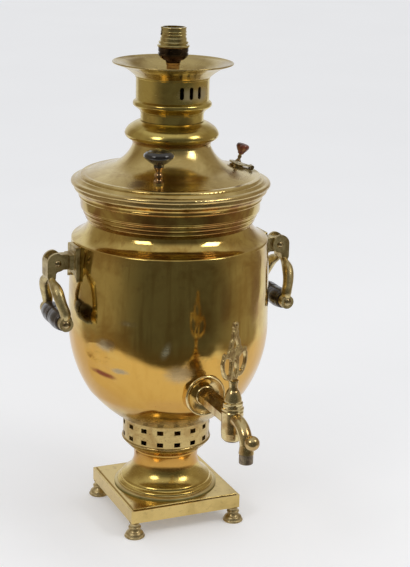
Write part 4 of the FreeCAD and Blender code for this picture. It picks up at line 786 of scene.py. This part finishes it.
@dataclass
class FootedBase(SubAssembly):
    """Four cast feet, the square tray, the waisted pedestal and the pierced air ring."""

    feet: tuple[str, ...] = ("foot_front_left", "foot_front_right", "foot_rear_left", "foot_rear_right")

    def build(self) -> None:
        """Dress the feet and tray and spin the pedestal."""
        self.dress(FOOT, *self.feet)
        self.dress(BASE, "base_plate")
        self.dress(GALLERY, "gallery_ring")
        self.spin(PEDESTAL, "pedestal", "pedestal_shell", "urn", Slot.BRASS)


@dataclass
class Urn(SubAssembly):
    """The water vessel with its fire tube, grate and cornice."""

    def build(self) -> None:
        """Spin the vessel and the cornice and dress the fire's parts."""
        self.spin(BODY, "urn_body", "urn_shell", "urn", Slot.BRASS)
        self.spin(CORNICE, "cornice_ring", "cornice_shell", "urn", Slot.BRASS)
        self.dress(SOOT, "fire_tube")
        self.dress(IRON, "fire_grate")


@dataclass
class Tap(SubAssembly):
    """The tap with its rose, spout, plug and pierced key."""

    def build(self) -> None:
        """Dress every part of the tap."""
        self.dress(ESCUTCHEON, "tap_escutcheon")
        self.dress(TAP, "tap_body", "tap_plug")
        self.dress(NOZZLE, "spout_nozzle")
        self.dress(KEY, "tap_key")
        self.dress(DULL, "tap_backing", "tap_nut", "plug_washer", "plug_screw")
        Casting("tap_key", "pierced_key_casting", "tap_key", 0.00040).build(KEY)


@dataclass
class DropHandle(SubAssembly):
    """One drop handle: eye bracket, pin, cast bail, rod and turned grip."""

    side: Side = Side.RIGHT

    def build(self) -> None:
        """Dress the metal and the grip of this side."""
        end = self.side.value
        self.dress(CAST, f"handle_bracket_{end}", f"handle_bail_{end}")
        self.dress(DULL, f"handle_pin_{end}", f"handle_rod_{end}")
        self.dress(GRIP, f"handle_grip_{end}")
        Casting(f"handle_bracket_{end}", f"eye_bracket_casting_{end}", "urn", 0.00060).build(CAST)


@dataclass
class Lid(SubAssembly):
    """The lid with its skirt, neck ring, two knobs and the steam vent."""

    def build(self) -> None:
        """Dress the lid's shell and fittings and spin its rings."""
        self.dress(LID, "lid_shell")
        self.spin(CORNICE, "lid_skirt", "lid_skirt_shell", "lid", Slot.BRASS)
        self.spin(COLLAR, "lid_ring", "lid_ring_shell", "lid", Slot.BRASS)
        self.dress(STEM, "knob_stem_front", "knob_stem_rear")
        self.dress(KNOB, "knob_head_front", "knob_head_rear")
        self.dress(DULL, "knob_nuts", "vent_seat", "vent_pin", "vent_stem")
        self.dress(FLAP, "vent_flap")
        self.dress(VENT_KNOB, "vent_knob")


@dataclass
class Crown(SubAssembly):
    """The slotted collar and dish with the lampholder on them."""

    def build(self) -> None:
        """Dress the collar, the dish and each part of the lampholder."""
        self.dress(COLLAR, "crown_collar")
        self.spin(DISH, "crown_dish", "dish_shell", "crown", Slot.BRASS)
        self.dress(STEM, "lamp_plate", "lamp_stem")
        self.dress(DULL, "lamp_tube", "lamp_nut", "contact_plunger_front", "contact_plunger_rear")
        self.dress(CAP, "holder_cap")
        self.dress(BARREL, "shade_ring", "shade_nut", "holder_skirt", "holder_barrel")
        self.dress(BLOCK, "contact_block")
        self.dress(SPRING, "contact_spring_front", "contact_spring_rear")


@dataclass
class PhotoCamera:
    """The camera at the photograph's place."""

    SENSOR: ClassVar[float] = 36.0
    NEAREST: ClassVar[float] = 0.05
    FARTHEST: ClassVar[float] = 60.0

    distance: float = 1.5125
    height: float = 0.70846
    yaw: float = 1.51
    pitch: float = 16.19
    roll: float = -1.52
    lens: float = 90.6

    def build(self) -> None:
        """Place the camera and make it the scene's own."""
        yaw, pitch, roll = (math.radians(angle) for angle in (self.yaw, self.pitch, self.roll))
        ahead = Vector((math.sin(yaw), math.cos(yaw), 0.0))
        across = Vector((math.cos(yaw), -math.sin(yaw), 0.0))
        rise = Vector((0.0, 0.0, 1.0))
        look = ahead * math.cos(pitch) - rise * math.sin(pitch)
        top = ahead * math.sin(pitch) + rise * math.cos(pitch)
        right = across * math.cos(roll) - top * math.sin(roll)
        up = across * math.sin(roll) + top * math.cos(roll)
        columns = [CAMERA_SIDE @ axis for axis in (right, up, -look)]
        columns.append(CAMERA_SIDE @ Vector((0.0, -self.distance, self.height)))
        data = bpy.data.cameras.new("photo_camera")
        data.lens = self.lens
        data.sensor_width = self.SENSOR
        data.clip_start = self.NEAREST
        data.clip_end = self.FARTHEST
        camera = bpy.data.objects.new("photo_camera", data)
        rows = [[column[i] for column in columns] for i in range(3)]
        camera.matrix_world = Matrix([*rows, [0.0, 0.0, 0.0, 1.0]])
        bpy.context.scene.collection.objects.link(camera)
        bpy.context.scene.camera = camera
        LOG.info("photo_camera placed")


@dataclass(frozen=True)
class Softbox:
    """One soft lamp, aimed at the middle of the samovar."""

    AIM_HEIGHT: ClassVar[float] = 0.30
    TINT: ClassVar[Triple] = (1.0, 0.985, 0.96)

    name: str
    angle: float
    height: float
    distance: float
    width: float
    tall: float
    radiance: float

    def build(self) -> None:
        """Place the lamp; its power gives the radiance that it shows in polished metal."""
        turn = math.radians(self.angle)
        flat = Vector((math.sin(turn), -math.cos(turn), 0.0)) * self.distance
        place = CAMERA_SIDE @ (flat + Vector((0.0, 0.0, self.height)))
        data = bpy.data.lights.new(self.name, "AREA")
        data.shape = "RECTANGLE"
        data.size = self.width
        data.size_y = self.tall
        data.energy = self.radiance * math.pi * self.width * self.tall
        data.color = self.TINT
        lamp = bpy.data.objects.new(self.name, data)
        lamp.location = place
        lamp.rotation_mode = "QUATERNION"
        lamp.rotation_quaternion = (Vector((0.0, 0.0, self.AIM_HEIGHT)) - place).to_track_quat("-Z", "Y")
        lamp.visible_camera = False
        bpy.context.scene.collection.objects.link(lamp)
        LOG.info("%s lit", self.name)


@dataclass
class Studio:
    """The pale table, the lamps and the room round them, which is dark behind the camera."""

    DARK_WAY: ClassVar[float] = 10.0
    DARK_SPAN: ClassVar[Pair] = (0.05, 0.85)
    BACK_SPAN: ClassVar[Pair] = (-0.92, -0.72)
    CEILING_SPAN: ClassVar[Pair] = (0.50, 0.86)
    PAPER_CLOUD: ClassVar[float] = 0.4
    PAPER_SHADE: ClassVar[float] = 0.985
    EDGE_FADE: ClassVar[float] = 0.10
    SIDE_FADE: ClassVar[Pair] = (0.46, 0.64)
    WIDENING: ClassVar[float] = 0.6

    pale: Triple = (0.862, 0.874, 0.905)
    table: Triple = (0.88, 0.885, 0.90)
    glow: float = 0.20
    room: Triple = (0.092, 0.088, 0.070)
    sides: Triple = (0.33, 0.285, 0.215)
    ceiling: Triple = (0.56, 0.55, 0.53)
    walls: Triple = (0.78, 0.80, 0.84)
    fill: float = 0.70
    front_edge: float = -0.47
    half_width: float = 4.0
    depth: float = 7.0
    lamps: tuple[Softbox, ...] = (
        Softbox("right_softbox", 66.0, 1.45, 1.45, 0.55, 0.46, 6.2),
        Softbox("left_softbox", -39.0, 1.35, 1.50, 0.55, 0.42, 5.0),
    )

    def build(self) -> None:
        """Clear the start scene, then make the room, the table and the lamps."""
        for thing in list(bpy.data.objects):
            if "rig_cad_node" not in thing and not thing.name.startswith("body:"):
                bpy.data.objects.remove(thing, do_unlink=True)
        bpy.context.scene.view_settings.view_transform = "Standard"
        self.make_room()
        self.make_table()
        for lamp in self.lamps:
            lamp.build()

    def make_room(self) -> None:
        """Build the world: pale to the camera, and for reflections a room that is dark in front."""
        world = bpy.data.worlds.new("studio_room")
        world.use_nodes = True
        bpy.context.scene.world = world
        graph = Graph(world.node_tree)
        ray = graph.node("ShaderNodeTexCoord").outputs["Generated"]
        turn = math.radians(self.DARK_WAY)
        dark_way = CAMERA_SIDE @ Vector((math.sin(turn), -math.cos(turn), 0.0))
        facing = graph.node(
            "ShaderNodeVectorMath", {0: ray, 1: tuple(dark_way)}, operation="DOT_PRODUCT"
        ).outputs["Value"]
        height = graph.node("ShaderNodeSeparateXYZ", {0: ray}).outputs["Z"]
        dark = graph.blend(graph.span(facing, *self.DARK_SPAN), self.sides, self.room)
        seen = graph.blend(graph.span(facing, *self.BACK_SPAN), self.walls, dark)
        seen = graph.blend(graph.span(height, *self.CEILING_SPAN), seen, self.ceiling)
        reflected = graph.node("ShaderNodeBackground", {"Color": seen, "Strength": 1.0}).outputs[0]
        plain = {"Color": (1.0, 1.0, 1.0, 1.0), "Strength": self.fill}
        soft = graph.node("ShaderNodeBackground", plain).outputs[0]
        bright = {"Color": (*self.pale, 1.0), "Strength": 1.0}
        backdrop = graph.node("ShaderNodeBackground", bright).outputs[0]
        path = graph.node("ShaderNodeLightPath").outputs
        mirror = graph.sum("MAXIMUM", path["Is Glossy Ray"], path["Is Transmission Ray"])
        lit = graph.node("ShaderNodeMixShader", {0: mirror, 1: soft, 2: reflected}).outputs[0]
        shown = graph.node("ShaderNodeMixShader", {0: path["Is Camera Ray"], 1: lit, 2: backdrop}).outputs[0]
        graph.node("ShaderNodeOutputWorld", {"Surface": shown})
        LOG.info("studio_room made")

    def make_table(self) -> None:
        """Build the pale table top, whose front edge and sides fade out into the room."""
        left, right, near, far = -self.half_width, self.half_width, self.front_edge, self.depth
        mesh = bpy.data.meshes.new("table_top")
        corners = [(left, near, 0.0), (right, near, 0.0), (right, far, 0.0), (left, far, 0.0)]
        mesh.from_pydata(corners, [], [(0, 1, 2, 3)])
        material, graph, where = fresh_material("pale_table")
        parts = graph.node("ShaderNodeSeparateXYZ", {0: where}).outputs
        across, depth = parts["X"], parts["Y"]
        paper = graph.span(graph.noise(where, self.PAPER_CLOUD, 2.0), 0.3, 0.7)
        colour = graph.blend(paper, tuple(self.PAPER_SHADE * c for c in self.table), self.table)
        matt = graph.node("ShaderNodeBsdfDiffuse", {"Color": colour}).outputs[0]
        path = graph.node("ShaderNodeLightPath").outputs
        seen = graph.sum("MAXIMUM", path["Is Camera Ray"], path["Is Glossy Ray"])
        seen = graph.sum("MULTIPLY", graph.sum("MAXIMUM", seen, path["Is Transmission Ray"]), self.glow)
        glow = graph.node("ShaderNodeEmission", {"Color": (*self.pale, 1.0), "Strength": seen}).outputs[0]
        lit = graph.node("ShaderNodeAddShader", {0: matt, 1: glow}).outputs[0]
        clear = graph.node("ShaderNodeBsdfTransparent").outputs[0]
        share = graph.span(depth, self.front_edge, self.front_edge + self.EDGE_FADE)
        widening = graph.sum("MULTIPLY", graph.sum("MAXIMUM", depth, 0.0), self.WIDENING)
        aside = graph.sum("SUBTRACT", graph.sum("ABSOLUTE", across, 0.0), widening)
        share = graph.sum("MULTIPLY", share, graph.span(aside, *self.SIDE_FADE, 1.0, 0.0))
        mixed = graph.node("ShaderNodeMixShader", {0: share, 1: clear, 2: lit}).outputs[0]
        graph.node("ShaderNodeOutputMaterial", {"Surface": mixed})
        mesh.materials.append(material)
        table = bpy.data.objects.new("table_top", mesh)
        table.rotation_euler = (0.0, 0.0, CAMERA_TURN)
        bpy.context.scene.collection.objects.link(table)
        LOG.info("table_top laid")


def main() -> None:
    """Build the studio, then each sub-assembly in order, and report the pieces."""
    logging.basicConfig(level=logging.INFO, format="%(message)s", stream=sys.stdout)
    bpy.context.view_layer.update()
    Studio().build()
    PhotoCamera().build()
    groups = (FootedBase(), Urn(), Tap(), DropHandle(Side.RIGHT), DropHandle(Side.LEFT), Lid(), Crown())
    for group in groups:
        group.build()
    for name in sorted(set(frame["nodes"]) - SubAssembly.dressed):
        LOG.warning("%s has no finish of its own", name)


if __name__ == "__main__":
    main()
